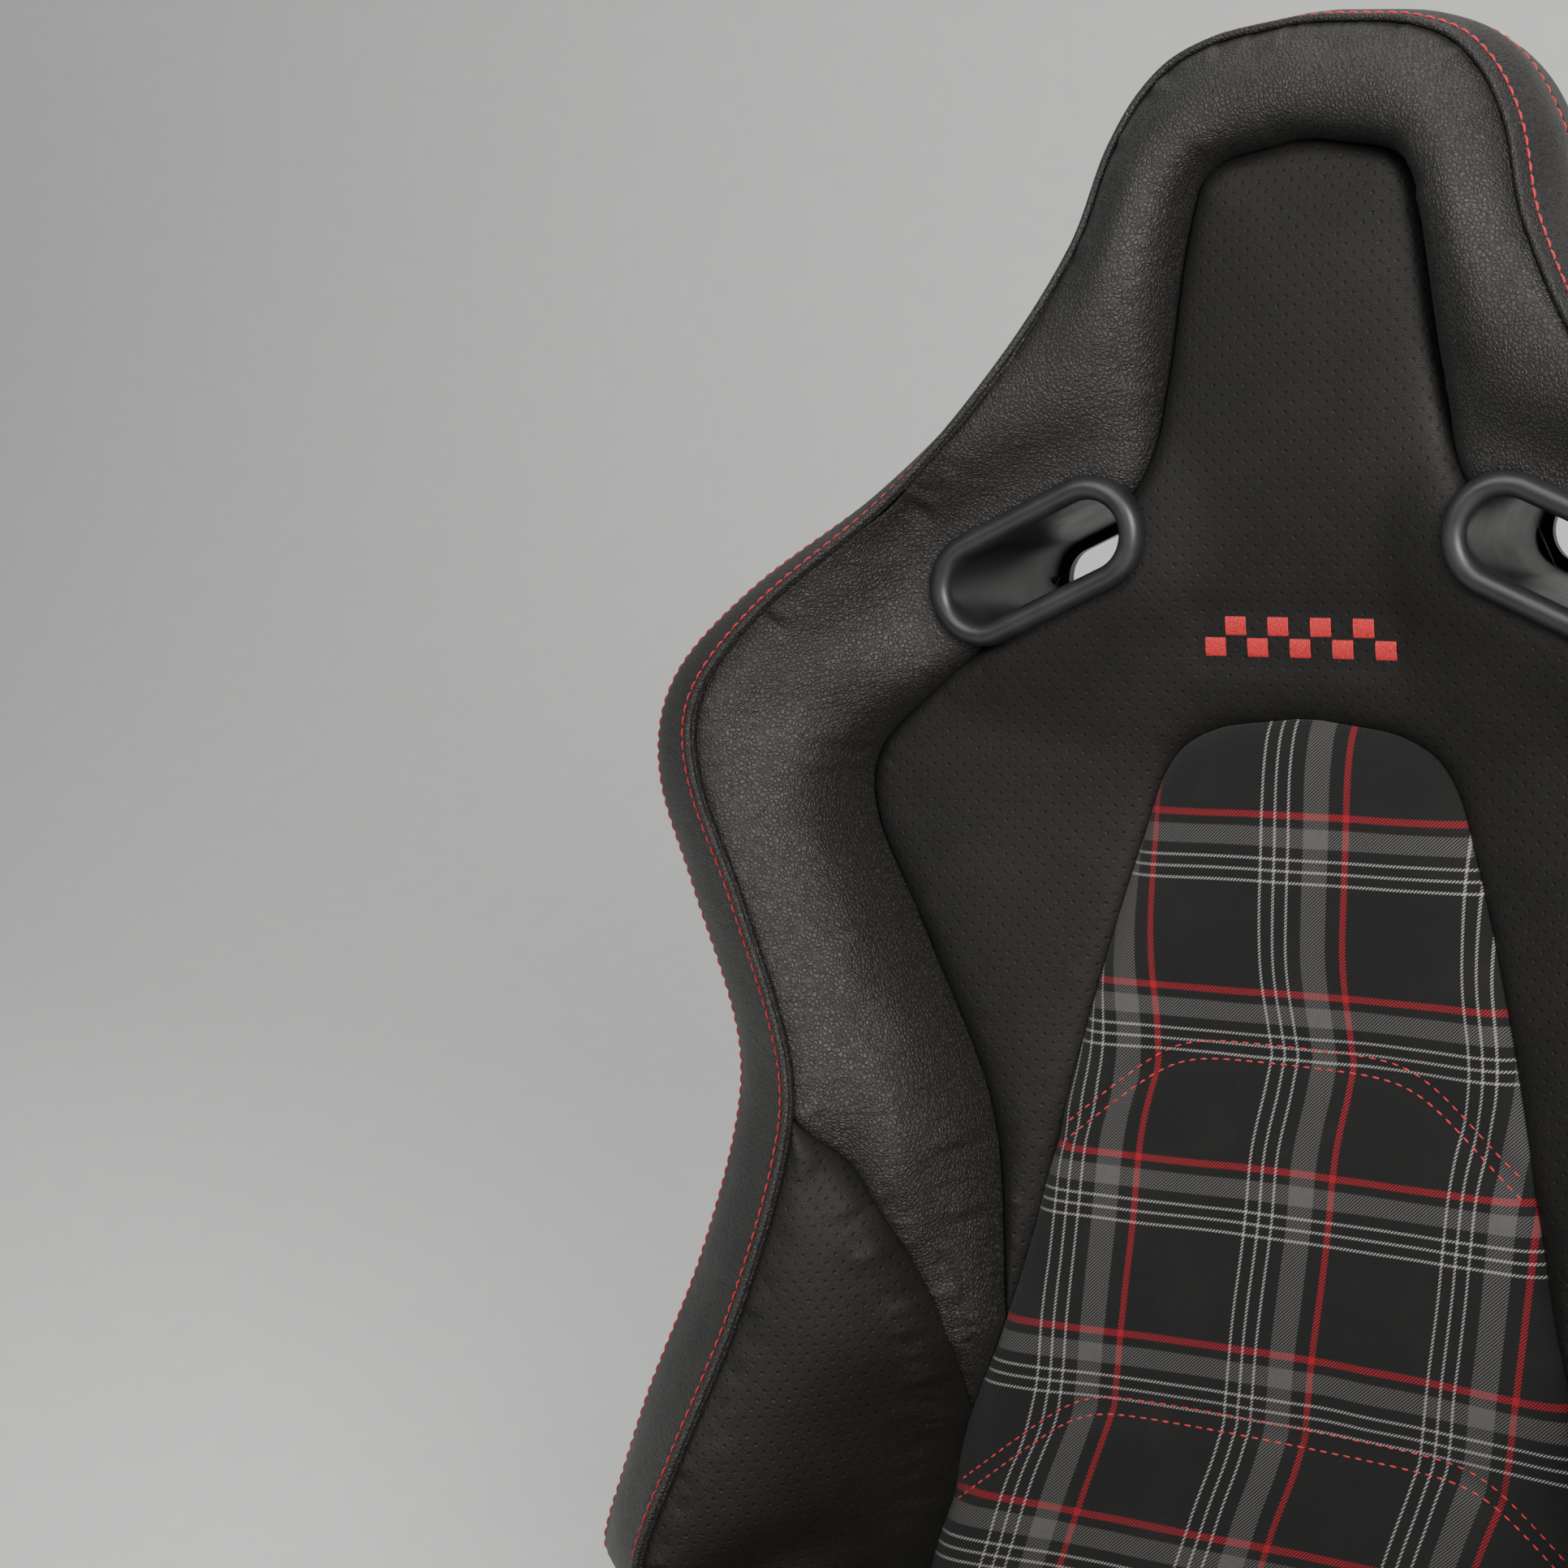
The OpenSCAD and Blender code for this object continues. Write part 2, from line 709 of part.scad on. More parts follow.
module headrest_surround() {
    color(leather)
        on_back()
            difference() {
                loft([for (s = [join_s, 605, 625, 645, 665, 685, 700, 712, 724, 735, 743, 748, 751])
                      pad_ring(s, 1 - at(edge_x, s), at(edge_x, s) - 1, 16)]);
                translate([0, 10, 0])
                    loft([for (s = [join_s - 5, 610, 640, 675, 690, 698, 701])
                          let (w = at(panel_x, s) + joint_gap)
                          [[-w, -150, s], [w, -150, s], [w, 0, s], [-w, 0, s]]]);
            }
}

// Outer half width of the leather part of the wing
function wing_x(s) = s < 274 ? min(at(slope_x, s), at(edge_x, s)) - joint_gap : at(edge_x, s);
wing_s = [134, 150, 170, 190, 210, 230, 250, 266, 278, 300, 325, 350, 375, 400, 420, 440, 460,
          480, 500, 520, 540, 560, 575, join_s - joint_gap];
module shoulder_bolster() {
    on_back()
        difference() {
            loft([for (s = wing_s)
                  pad_ring(s, (s < 172 ? at(cloth_x, s) : at(panel_x, s)) + joint_gap, wing_x(s), 8)]);
            slot_prism(tunnel_g + 0.5, 0, 200);
            slot_prism(1, 70, 200);
        }
}
module shoulder_bolster_left() { color(leather) on_side(1) shoulder_bolster(); }
module shoulder_bolster_right() { color(leather) on_side(-1) shoulder_bolster(); }

// Perforated strip beside the plaid insert, up to the level where the insert ends
split_s = 456;
module centre_strip(side) {
    on_side(side)
        on_back()
            loft([for (s = [195, 213, 232, 260, 290, 320, 350, 380, 400, 418, 436, 446, 452, split_s])
                  pad_ring(s, at(cloth_x, min(s, 455)) + joint_gap, at(panel_x, s) - 1.2, 7)]);
}

module centre_pad() {
    color(perforated)
        for (side = [-1, 1])
            centre_strip(side);
    color(perforated)
        on_back()
            difference() {
                loft([for (s = [split_s, 463, 470, 485, 505, 520, 540, 557, 580, 610, 640, 675, 690, 698])
                      let (w = at(panel_x, s) - 1.2) pad_ring(s, -w, w, 12)]);
                for (side = [-1, 1])
                    on_side(side)
                        slot_prism(tunnel_g + 0.5, 0, 200);
            }
}

module lumbar_insert() {
    color(cloth)
        on_back()
            loft([for (s = [insert_bottom, 28, back_bottom, 60, 84, 121, 145, 169, 190, 210, 234,
                            258, 296, 334, 367, 400, 420, 436, 446, 452])
                  let (w = at(cloth_x, s) - joint_gap) pad_ring(s, -w, w, 10)]);
}

// Inner half width of the perforated lower wing
function lower_x(s) = (s < 129 ? at(cloth_x, s) : at(slope_x, s)) + 1.4;
module lower_bolster() {
    on_back()
        loft([for (s = [back_bottom, 55, 70, 85, 100, 115, 129, 145, 160, 182, 200, 220, 240, 257, 268])
              pad_ring(s, lower_x(s), at(edge_x, s), 8)]);
}
module lower_bolster_left() { color(perforated) on_side(1) lower_bolster(); }
module lower_bolster_right() { color(perforated) on_side(-1) lower_bolster(); }

// Side band from the piping back to the rear seam, and on to the shell
band_t = 5;
band_s = [back_bottom, 58, 76, 100, 125, 150, 175, 200, 225, 250, 275, 300, 330, 360, 390, 415, 440,
          460, 480, 500, 520, 540, 560, 585, 610, 635, 660, 685, 706, 722, 735, 743, 748, 751];
function band_ring(s) =
    let (xe = at(edge_x, s) + 0.6, de = at(edge_d, s),
         xs = at(seam_x, min(s, 757)), ds = at(seam_d, s), xm = (xe + xs) / 2 + 5, dm = (de + ds) / 2 + 3)
    [[xe, -de, s], [xm, -dm, s], [xs, -ds, s], [xs - band_t, -ds + 1, s],
     [xm - band_t, -dm + 4, s], [xe, -de + 6, s]];
module gusset() {
    on_back()
        loft([for (s = band_s) band_ring(s)]);
}
module gusset_left() { color(leather) on_side(1) gusset(); }
module gusset_right() { color(leather) on_side(-1) gusset(); }

piping_half = concat(steps(back_bottom + 2, 700, 32), [712, 722, 730, 737, 742, 746, 749, 751]);
module front_piping() {
    right = [for (s = piping_half)
             [at(edge_x, s) + 1, -at(edge_d, s) - piping_r - 0.9, s + 2 * max(0, (s - 700) / 51)]];
    left = [for (i = [len(right) - 1:-1:0]) [-right[i][0], right[i][1], right[i][2]]];
    color(leather)
        on_back()
            tube_along(concat(right, left), piping_r, 8, [0, 1, 0]);
}

// Rear shell: a bowl that closes the back from one rear seam to the other
shell_s = [36.5, 50, 80, 125, 170, 215, 268, 305, 345, 385, 425, 455, 485, 512, 535, 556, 583, 610,
           636, 662, 690, 712, 730, 742, 750, 755];
shell_turn = [0, 12, 25, 38, 50, 62, 72, 81];
// Half section at height s: turn a is 0 at the seam and 90 in the middle of the back
function shell_point(s, a, inset) =
    let (xs = at(seam_x, s) - inset, ds = at(seam_d, s) - 2, dd = at(shell_d, s) + inset)
    [xs * cos(a) ^ 0.42, -(dd + (ds - dd) * (1 - sin(a)) ^ 2), s];
// Closed section: the curved back, then straight across in front at depth lid past the seam
function shell_ring(s, inset, lid) =
    let (half = [for (a = shell_turn) shell_point(s, a, inset)], n = len(half),
         ds = at(seam_d, s) - 2 + lid)
    concat([[half[0][0], -ds, s]], half, [shell_point(s, 90, inset)],
           [for (i = [n - 1:-1:0]) [-half[i][0], half[i][1], s]], [[-half[0][0], -ds, s]]);
module rear_shell() {
    color(leather)
        on_back()
            difference() {
                loft([for (s = shell_s) shell_ring(s, 0, 0.01)]);
                loft([for (s = concat([30], [for (s = shell_s) if (s > 40 && s < 752) s]))
                      shell_ring(s, shell_t, 40)]);
                for (side = [-1, 1])
                    on_side(side)
                        slot_prism(tunnel_g + 0.5, -80, 0);
            }
}

// ---- Harness slots ----

tunnel_wall = 2;
tunnel_front = 70;
tunnel_back = -46;
module slot_tunnel() {
    on_back()
        difference() {
            slot_prism(tunnel_g, tunnel_back, tunnel_front);
            slot_prism(tunnel_g - tunnel_wall, tunnel_back - 1, tunnel_front + 1);
        }
}
module slot_tunnel_left() { color(plastic) on_side(1) slot_tunnel(); }
module slot_tunnel_right() { color(plastic) on_side(-1) slot_tunnel(); }

// Rounded rim section: distance from the slot's middle line, depth
module rim_section() {
    translate([slot_w / 2 - rim_w, 0])
        intersection() {
            translate([rim_w / 2, 0])
                circle(r = rim_w / 2);
            square([rim_w, rim_w]);
        }
    translate([slot_w / 2 - rim_w, -4])
        square([rim_w, 4.01]);
}

// Oval rim at a depth, facing forward
module slot_rim(depth, flip) {
    straight = slot_len - slot_w;
    translate([slot_x, -depth, slot_s])
        rotate([0, slot_tilt, 0])
            rotate([flip ? -90 : 90, 0, 0]) {
                for (end = [-1, 1])
                    translate([end * straight / 2, 0, 0])
                        rotate([0, 0, end > 0 ? -90 : 90])
                            rotate_extrude(angle = 180)
                                rim_section();
                for (edge = [0, 180])
                    rotate([0, 0, edge])
                        translate([-straight / 2, 0, 0])
                            rotate([90, 0, 90])
                                linear_extrude(straight)
                                    rim_section();
            }
}
module slot_trim() { on_back() slot_rim(tunnel_front + 4.2, false); }
module slot_trim_left() { color(plastic) on_side(1) slot_trim(); }
module slot_trim_right() { color(plastic) on_side(-1) slot_trim(); }
module rear_trim() { on_back() slot_rim(tunnel_back - 4.2, true); }
module rear_trim_left() { color(plastic) on_side(1) rear_trim(); }
module rear_trim_right() { color(plastic) on_side(-1) rear_trim(); }

lower_rail_left();
lower_rail_right();
rollers_left();
rollers_right();
upper_rail_left();
upper_rail_right();
side_plate_left();
side_plate_right();
front_cross_tube();
rear_cross_tube();
seat_pan();
frame_bolts();
slide_bar();
slide_latch_left();
slide_latch_right();
recliner_housing_left();
recliner_housing_right();
recliner_disc_left();
recliner_disc_right();
recliner_arm_left();
recliner_arm_right();
return_spring_left();
return_spring_right();
release_shaft();
release_cam_left();
release_cam_right();
recline_lever_left();
recline_lever_right();
recliner_cover_left();
recliner_cover_right();
cushion_insert();
cushion_front();
cushion_bolster_left();
cushion_bolster_right();
cushion_piping();
back_hoop();
head_hoop();
lumbar_springs();
arm_bolts();
headrest_surround();
shoulder_bolster_left();
shoulder_bolster_right();
centre_pad();
lumbar_insert();
lower_bolster_left();
lower_bolster_right();
gusset_left();
gusset_right();
front_piping();
rear_shell();
slot_tunnel_left();
slot_tunnel_right();
slot_trim_left();
slot_trim_right();
rear_trim_left();
rear_trim_right();
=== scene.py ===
# Looks of the reclining racing seat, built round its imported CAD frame.
# Lengths in the outlines are millimetres, as in the part's own source; meshes are metres.
import json
import math

import bmesh
import bpy
import numpy as np
from mathutils import Matrix, Vector
from mathutils.bvhtree import BVHTree
from mathutils.geometry import delaunay_2d_cdt


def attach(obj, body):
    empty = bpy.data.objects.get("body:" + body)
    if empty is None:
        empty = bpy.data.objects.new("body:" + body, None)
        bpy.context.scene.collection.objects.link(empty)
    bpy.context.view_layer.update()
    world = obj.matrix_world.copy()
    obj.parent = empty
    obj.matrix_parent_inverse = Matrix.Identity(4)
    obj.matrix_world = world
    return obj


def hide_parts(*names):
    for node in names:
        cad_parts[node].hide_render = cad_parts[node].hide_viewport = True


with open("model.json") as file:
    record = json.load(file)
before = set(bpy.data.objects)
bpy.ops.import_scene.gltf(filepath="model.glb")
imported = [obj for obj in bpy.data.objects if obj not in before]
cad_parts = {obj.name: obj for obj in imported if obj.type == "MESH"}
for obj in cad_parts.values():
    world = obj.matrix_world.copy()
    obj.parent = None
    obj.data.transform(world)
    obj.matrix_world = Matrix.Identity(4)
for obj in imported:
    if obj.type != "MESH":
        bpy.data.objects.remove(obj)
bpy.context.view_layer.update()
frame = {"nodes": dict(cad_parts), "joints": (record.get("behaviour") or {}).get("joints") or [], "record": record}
MM = 0.001

# ---------------------------------------------------------------- frame facts

JOINTS = {j["name"]: j for j in frame["joints"]}
HINGE = Vector(JOINTS["back_recline"]["pos_m"]) / MM
RECLINE = math.radians(8)
FOAM_BACK = 20
PAN_Z = 98
PIPING_R = 1.8

SLOT_LEN = 111
SLOT_W = 53
SLOT_TILT = math.radians(24.5)
SLOT_X = 119.5
SLOT_S = 523.5
SLOT_HIDDEN = 6.0
SLOT_SEAT = 71
SLOT_POCKET = 34

# ---------------------------------------------------------------- outlines
# Backrest: [height above the hinge along the back, value]

EDGE_X = [[40, 228], [43, 237], [50, 245.5], [62, 250.5], [78, 251.5], [118, 240], [190, 220],
          [268, 205], [305, 209], [370, 236], [425, 261], [462, 262], [503, 233], [553, 176],
          [608, 129], [660, 100], [706, 86], [735, 66], [747, 40], [751, 6]]
EDGE_D = [[40, 204], [76, 209], [118, 198], [190, 172], [268, 154], [370, 143], [462, 137],
          [503, 127], [553, 107], [608, 93], [660, 76], [706, 64], [751, 55]]
SEAM_X = [[40, 302], [43, 311], [48, 316.5], [56, 317.5], [80, 311.5], [125, 300], [195, 278],
          [268, 262], [305, 264], [370, 288], [425, 306], [470, 296], [512, 256], [556, 197],
          [610, 141], [662, 110], [706, 97], [738, 76], [752, 46], [757, 6]]
SEAM_D = [[40, 147], [125, 130], [195, 114], [268, 105], [425, 104], [470, 102], [512, 93],
          [556, 72], [610, 45], [662, 24], [757, 18]]
PANEL_X = [[172, 133], [228, 136], [261, 140], [290, 149],
           [361, 184], [405, 206], [437, 204], [468, 172], [483, 152], [520, 110],
           [557, 74], [598, 62.5], [675, 50], [694, 38], [701, 6]]
CLOTH_X = [[12, 178], [40, 174], [84, 160], [121, 151], [169, 133], [210, 121], [258, 111],
           [334, 94], [400, 76], [436, 62], [450, 40], [455, 6]]
SLOPE_X = [[124, 149.6], [147, 148.4], [170, 149.5], [191, 154.5], [214, 163], [235, 173],
           [255, 186], [274, 205]]
MID_D = [[12, 64], [40, 70], [100, 74], [170, 73], [258, 64], [334, 57], [436, 51], [500, 59],
         [557, 65], [640, 66], [701, 64]]
PANEL_D = [[12, 68], [40, 82], [172, 84], [261, 79], [361, 76], [437, 72], [500, 68], [557, 66],
           [640, 67], [701, 66]]
HOLLOW = [[40, 0.25], [270, 0.15], [420, 0.1], [470, 0.5], [500, 0.9], [560, 0.9], [610, 0.5],
          [660, 0.2], [751, 0.2]]
ROLL_H = [[40, 4], [270, 6], [440, 6], [520, 0], [590, 8], [650, 18], [751, 18]]
SHELL_D = [[36, -36], [120, -42], [300, -44], [480, -42], [600, -38], [700, -32], [732, -27],
           [747, -17], [754, 0], [757, 14]]
BACK_BOTTOM = 40
CROWN = 751
SEAM_TOP = 757
INSERT_BOTTOM = -8
CLOTH_TOP = 455
PANEL_LOW = 172
PANEL_TOP = 701
SLOPE_LOW = 124
SLOPE_TOP = 274
LINE_STEP = 1.5
LINE_JUMP = 5.0
EDGE_ROUND = 22.0


def at(outline, t):
    """Smooth value of an outline at each position in t."""
    p = np.asarray(outline, float)
    t = np.asarray(t, float)
    i = np.clip(np.searchsorted(p[:, 0], t, side="right") - 1, 0, len(p) - 2)
    slope = np.empty(len(p))
    slope[1:-1] = (p[2:, 1] - p[:-2, 1]) / (p[2:, 0] - p[:-2, 0])
    slope[0] = (p[1, 1] - p[0, 1]) / (p[1, 0] - p[0, 0])
    slope[-1] = (p[-1, 1] - p[-2, 1]) / (p[-1, 0] - p[-2, 0])
    span = p[i + 1, 0] - p[i, 0]
    u = np.clip((t - p[i, 0]) / span, 0, 1)
    return ((2 * u**3 - 3 * u**2 + 1) * p[i, 1] + (u**3 - 2 * u**2 + u) * span * slope[i]
            + (3 * u**2 - 2 * u**3) * p[i + 1, 1] + (u**3 - u**2) * span * slope[i + 1])


def edge_depth(s):
    """Depth of the front edge, rounded off at the bottom."""
    short = np.clip(BACK_BOTTOM + EDGE_ROUND - np.asarray(s, float), 0, EDGE_ROUND)
    return at(EDGE_D, s) - (EDGE_ROUND - np.sqrt(EDGE_ROUND**2 - short**2))


def smooth(v):
    """0 to 1 with flat ends."""
    v = np.clip(v, 0, 1)
    return v * v * (3 - 2 * v)


# ---------------------------------------------------------------- line tools


def run_along(p):
    """Length along a line up to each of its points."""
    return np.concatenate([[0], np.cumsum(np.linalg.norm(np.diff(p, axis=0), axis=1))])


def loop_back(ring):
    """A closed outline with its first point repeated at the end."""
    return np.concatenate([ring, ring[:1]])


def resample(points, step):
    """The same open line with points about step apart."""
    p = np.asarray(points, float)
    length = run_along(p)
    n = max(2, int(round(length[-1] / step)))
    want = np.linspace(0, length[-1], n + 1)
    return np.stack([np.interp(want, length, p[:, k]) for k in range(p.shape[1])], 1)


def side_line(outline, low, high):
    """Right-hand outline from low to high as (x, s) points."""
    s = np.linspace(low, high, 1200)
    return np.stack([at(outline, s), s], 1)


def flip(line):
    """The mirror twin of a line, walked the other way."""
    out = np.array(line[::-1], float)
    out[:, 0] *= -1
    return out


def over_top(outline, low, high):
    """From the right side over the top to the left side."""
    right = side_line(outline, low, high)
    return np.concatenate([right, flip(right)])


def span_distance(points, line, index, step):
    """Distance from each point to the span between its nearest sample and a neighbour."""
    start = line[index, :2]
    span = line[np.clip(index + step, 0, len(line) - 1), :2] - start
    length = (span**2).sum(1)
    t = np.clip(((points - start) * span).sum(1) / np.maximum(length, 1e-9), 0, 1)
    t[length > LINE_JUMP**2] = 0
    return np.linalg.norm(points - start - span * t[:, None], axis=1)


def nearest(points, line):
    """Distance from each point to a densely sampled line, and the index of the nearest sample."""
    index = np.empty(len(points), int)
    for k in range(0, len(points), 4000):
        part = points[k:k + 4000]
        index[k:k + 4000] = ((part[:, None, :] - line[None, :, :2]) ** 2).sum(2).argmin(1)
    far = np.minimum(span_distance(points, line, index, -1), span_distance(points, line, index, 1))
    return far, index


def inside(points, polygon):
    """Which points are inside a closed polygon."""
    x, y = points[:, 0], points[:, 1]
    hit = np.zeros(len(points), bool)
    a = polygon
    b = np.roll(polygon, -1, axis=0)
    for (x0, y0), (x1, y1) in zip(a, b):
        if y0 == y1:
            continue
        cross = ((y0 > y) != (y1 > y)) & (x < (x1 - x0) * (y - y0) / (y1 - y0) + x0)
        hit ^= cross
    return hit


# ---------------------------------------------------------------- backrest skin


def panel_side(low):
    """Right-hand inner edge of the leather cover, from low up to the crown of the panel."""
    return np.concatenate([side_line(CLOTH_X, low, PANEL_LOW), side_line(PANEL_X, PANEL_LOW, PANEL_TOP)])


EDGE_LINE = resample(over_top(EDGE_X, BACK_BOTTOM, CROWN), LINE_STEP)
PANEL_SIDE = panel_side(INSERT_BOTTOM)
PANEL_LINE = resample(np.concatenate([PANEL_SIDE, flip(PANEL_SIDE)]), LINE_STEP)
CLOTH_LINE = resample(over_top(CLOTH_X, INSERT_BOTTOM, CLOTH_TOP), LINE_STEP)
SLOPE_SIDE = side_line(SLOPE_X, SLOPE_LOW, SLOPE_TOP)
SLOPE_LINE = resample(SLOPE_SIDE, LINE_STEP)
SLOPE_BOTH = np.concatenate([SLOPE_LINE, flip(SLOPE_LINE)])


def slot_distance(p):
    """Signed distance from the outer line of the nearer slot trim."""
    x = np.abs(p[:, 0]) - SLOT_X
    s = p[:, 1] - SLOT_S
    along = x * math.cos(SLOT_TILT) - s * math.sin(SLOT_TILT)
    across = x * math.sin(SLOT_TILT) + s * math.cos(SLOT_TILT)
    along = np.maximum(np.abs(along) - (SLOT_LEN - SLOT_W) / 2, 0)
    return np.hypot(along, across) - SLOT_W / 2


def back_shape(p):
    """Padding depth at (x, s) points, before the seams pull it in."""
    x, s = np.abs(p[:, 0]), p[:, 1]
    out_panel, i = nearest(p, PANEL_LINE)
    to_edge, j = nearest(p, EDGE_LINE)
    side = np.where(s < PANEL_LOW, at(CLOTH_X, s), at(PANEL_X, s))
    in_panel = (x < side) & (s < PANEL_TOP)
    half = np.maximum(side, 40)
    flat = at(MID_D, s) + (at(PANEL_D, s) - at(MID_D, s)) * np.minimum(x / half, 1) ** 2
    dc = at(PANEL_D, PANEL_LINE[i, 1])
    de = edge_depth(EDGE_LINE[j, 1])
    t = out_panel / np.maximum(out_panel + to_edge, 1e-3)
    h = at(HOLLOW, s)
    wing = (dc + (de - dc) * ((1 - h) * (1 - (1 - t) ** 1.8) + h * t**1.8)
            + at(ROLL_H, s) * 4 * t**0.7 * (1 - t**0.7))
    lap = smooth((s - 210) / 60) * smooth((485 - s) / 70)
    wing = wing + lap * (16 * np.exp(-((t - 0.24) / 0.15) ** 2) - 9 * np.exp(-((t - 0.64) / 0.17) ** 2))
    d = np.where(in_panel, flat, wing)
    pocket = smooth(slot_distance(p) / SLOT_POCKET)
    return SLOT_SEAT + (d - SLOT_SEAT) * pocket


def seam_pull(p, lines):
    """How far seams draw the skin in: each is (line, depth, reach)."""
    pull = np.zeros(len(p))
    for line, depth, reach in lines:
        far, _ = nearest(p, line)
        pull = np.maximum(pull, depth * np.exp(-far / reach))
    return pull


def place_back(x, s, d):
    """World point, in metres, of a point of the backrest: across, up along it, forward."""
    y = HINGE.y + s * math.sin(RECLINE) - d * math.cos(RECLINE)
    z = HINGE.z + s * math.cos(RECLINE) + d * math.sin(RECLINE)
    return np.stack([x, y, z], -1) * MM


# ---------------------------------------------------------------- mesh tools


def new_object(name, verts, faces, cut=None, seam=None):
    """A smooth-shaded mesh object, with its cloth coordinates if there are any."""
    mesh = bpy.data.meshes.new(name)
    mesh.from_pydata([tuple(v) for v in verts], [], [tuple(int(k) for k in f) for f in faces])
    mesh.update()
    for layer_name, values in (("cut", cut), ("seam", seam)):
        if values is not None:
            layer = mesh.uv_layers.new(name=layer_name)
            loops = np.empty(len(mesh.loops), int)
            mesh.loops.foreach_get("vertex_index", loops)
            layer.data.foreach_set("uv", np.asarray(values, np.float32)[loops].ravel())
    obj = bpy.data.objects.new(name, mesh)
    bpy.context.scene.collection.objects.link(obj)
    mesh.shade_smooth()
    return obj


def tidy_normals(obj):
    """Turns every face of a body outward."""
    bm = bmesh.new()
    bm.from_mesh(obj.data)
    bmesh.ops.recalc_face_normals(bm, faces=bm.faces)
    bm.to_mesh(obj.data)
    bm.free()


ROWS = (0.8, 1.8, 3.1, 4.8, 7.0, 9.8)
CUT_STEP = 0.8
CUT_CLEAR = 0.7


def inset(ring, amount):
    """Points a little inside a closed outline."""
    t = np.roll(ring, -1, 0) - np.roll(ring, 1, 0)
    n = np.stack([-t[:, 1], t[:, 0]], 1) / np.maximum(np.linalg.norm(t, axis=1), 1e-9)[:, None]
    nxt = np.roll(ring, -1, 0)
    area = (ring[:, 0] * nxt[:, 1] - nxt[:, 0] * ring[:, 1]).sum()
    return ring + n * (amount if area > 0 else -amount)


def fill_region(ring, step, cuts=()):
    """Triangles that fill a closed outline, in rows beside it and evenly further in."""
    low, high = ring.min(0), ring.max(0)
    rim = resample(loop_back(ring), CUT_STEP)
    grid = []
    for k, v in enumerate(np.arange(low[1], high[1] + step, step * 0.866)):
        x = np.arange(low[0] - step, high[0] + step, step) + (0.5 * step if k % 2 else 0)
        grid.append(np.stack([x, np.full(len(x), v)], 1))
    grid = np.concatenate(grid)
    grid = grid[inside(grid, ring)]
    grid = grid[nearest(grid, rim)[0] > ROWS[-1] + step * 0.45]
    points = [ring]
    edges = [(k, (k + 1) % len(ring)) for k in range(len(ring))]
    for amount in ROWS:
        row = inset(ring, amount)
        keep = inside(row, ring) & (nearest(row, rim)[0] > amount * 0.95)
        points.append(row[keep])
    points.append(grid)
    points = np.concatenate(points)
    for cut in cuts:
        clear = nearest(points, resample(loop_back(cut), CUT_STEP))[0] > CUT_CLEAR
        clear[:len(ring)] = True
        keep = np.cumsum(clear) - 1
        points = points[clear]
        edges = [(int(keep[a]), int(keep[b])) for a, b in edges]
        first = len(points)
        points = np.concatenate([points, cut])
        edges += [(first + k, first + (k + 1) % len(cut)) for k in range(len(cut))]
    co, _, tri, *_ = delaunay_2d_cdt([Vector(p) for p in points], edges, [], 0, 1e-5)
    co = np.array([tuple(c) for c in co])
    tri = np.array([t[:3] for t in tri])
    mid = co[tri].mean(1)
    keep = inside(mid, ring)
    for cut in cuts:
        keep &= ~inside(mid, cut)
    tri = tri[keep]
    used, tri = np.unique(tri, return_inverse=True)
    return co[used], tri.reshape(-1, 3)


def relax(values, tri, rounds, hold):
    """Evens out values over a mesh, keeping those held."""
    n = len(values)
    a = tri[:, [0, 1, 2, 1, 2, 0]].T.ravel()
    b = tri[:, [1, 2, 0, 0, 1, 2]].T.ravel()
    count = np.bincount(a, minlength=n)
    values = values.copy()
    for _ in range(rounds):
        mean = np.bincount(a, weights=values[b], minlength=n) / np.maximum(count, 1)
        values = np.where(hold, values, 0.5 * values + 0.5 * mean)
    return values


def loft(rings, sides, first=0, closed=True):
    """Faces between rows of points, each row joined to the next."""
    faces = []
    for i in range(first, first + (rings - 1) * sides, sides):
        for k in range(sides if closed else sides - 1):
            q = (k + 1) % sides
            faces.append((i + k, i + q, i + sides + q, i + sides + k))
    return faces


def capped_loft(rings, sides, first=0):
    """Faces of a closed body through rings of points."""
    last = first + (rings - 1) * sides
    return loft(rings, sides, first) + [tuple(range(first + sides - 1, first - 1, -1)),
                                        tuple(range(last, last + sides))]


def rim_edges(faces):
    """Directed edges that have a face on one side only."""
    seen = {}
    for f in faces:
        for k in range(len(f)):
            seen[(f[k], f[(k + 1) % len(f)])] = True
    return [e for e in seen if (e[1], e[0]) not in seen]


def close_body(top, low, skin):
    """A closed body from a skin, the same points lowered, and walls between."""
    n = len(top)
    faces = [tuple(f) for f in skin] + [tuple(v + n for v in f[::-1]) for f in skin]
    faces += [(b, a, a + n, b + n) for a, b in rim_edges(skin)]
    return np.concatenate([top, low]), faces


def cut_length(p, depth_of):
    """Cloth coordinates, in metres: length across from the middle, and height."""
    x = np.linspace(0, 340, 86)
    s = np.linspace(0, 800, 81)
    gx, gs = np.meshgrid(x, s)
    d = depth_of(np.stack([gx.ravel(), gs.ravel()], 1)).reshape(gx.shape)
    run = np.hypot(np.diff(d, axis=1), x[1] - x[0])
    across = np.concatenate([np.zeros((len(s), 1)), np.cumsum(run, axis=1)], 1)
    fx = np.clip(np.abs(p[:, 0]) / (x[1] - x[0]), 0, len(x) - 1.001)
    fs = np.clip(p[:, 1] / (s[1] - s[0]), 0, len(s) - 1.001)
    i, j = fx.astype(int), fs.astype(int)
    u, v = fx - i, fs - j
    top = across[j, i] * (1 - u) + across[j, i + 1] * u
    bottom = across[j + 1, i] * (1 - u) + across[j + 1, i + 1] * u
    return np.stack([np.sign(p[:, 0]) * (top * (1 - v) + bottom * v), p[:, 1]], 1) * MM


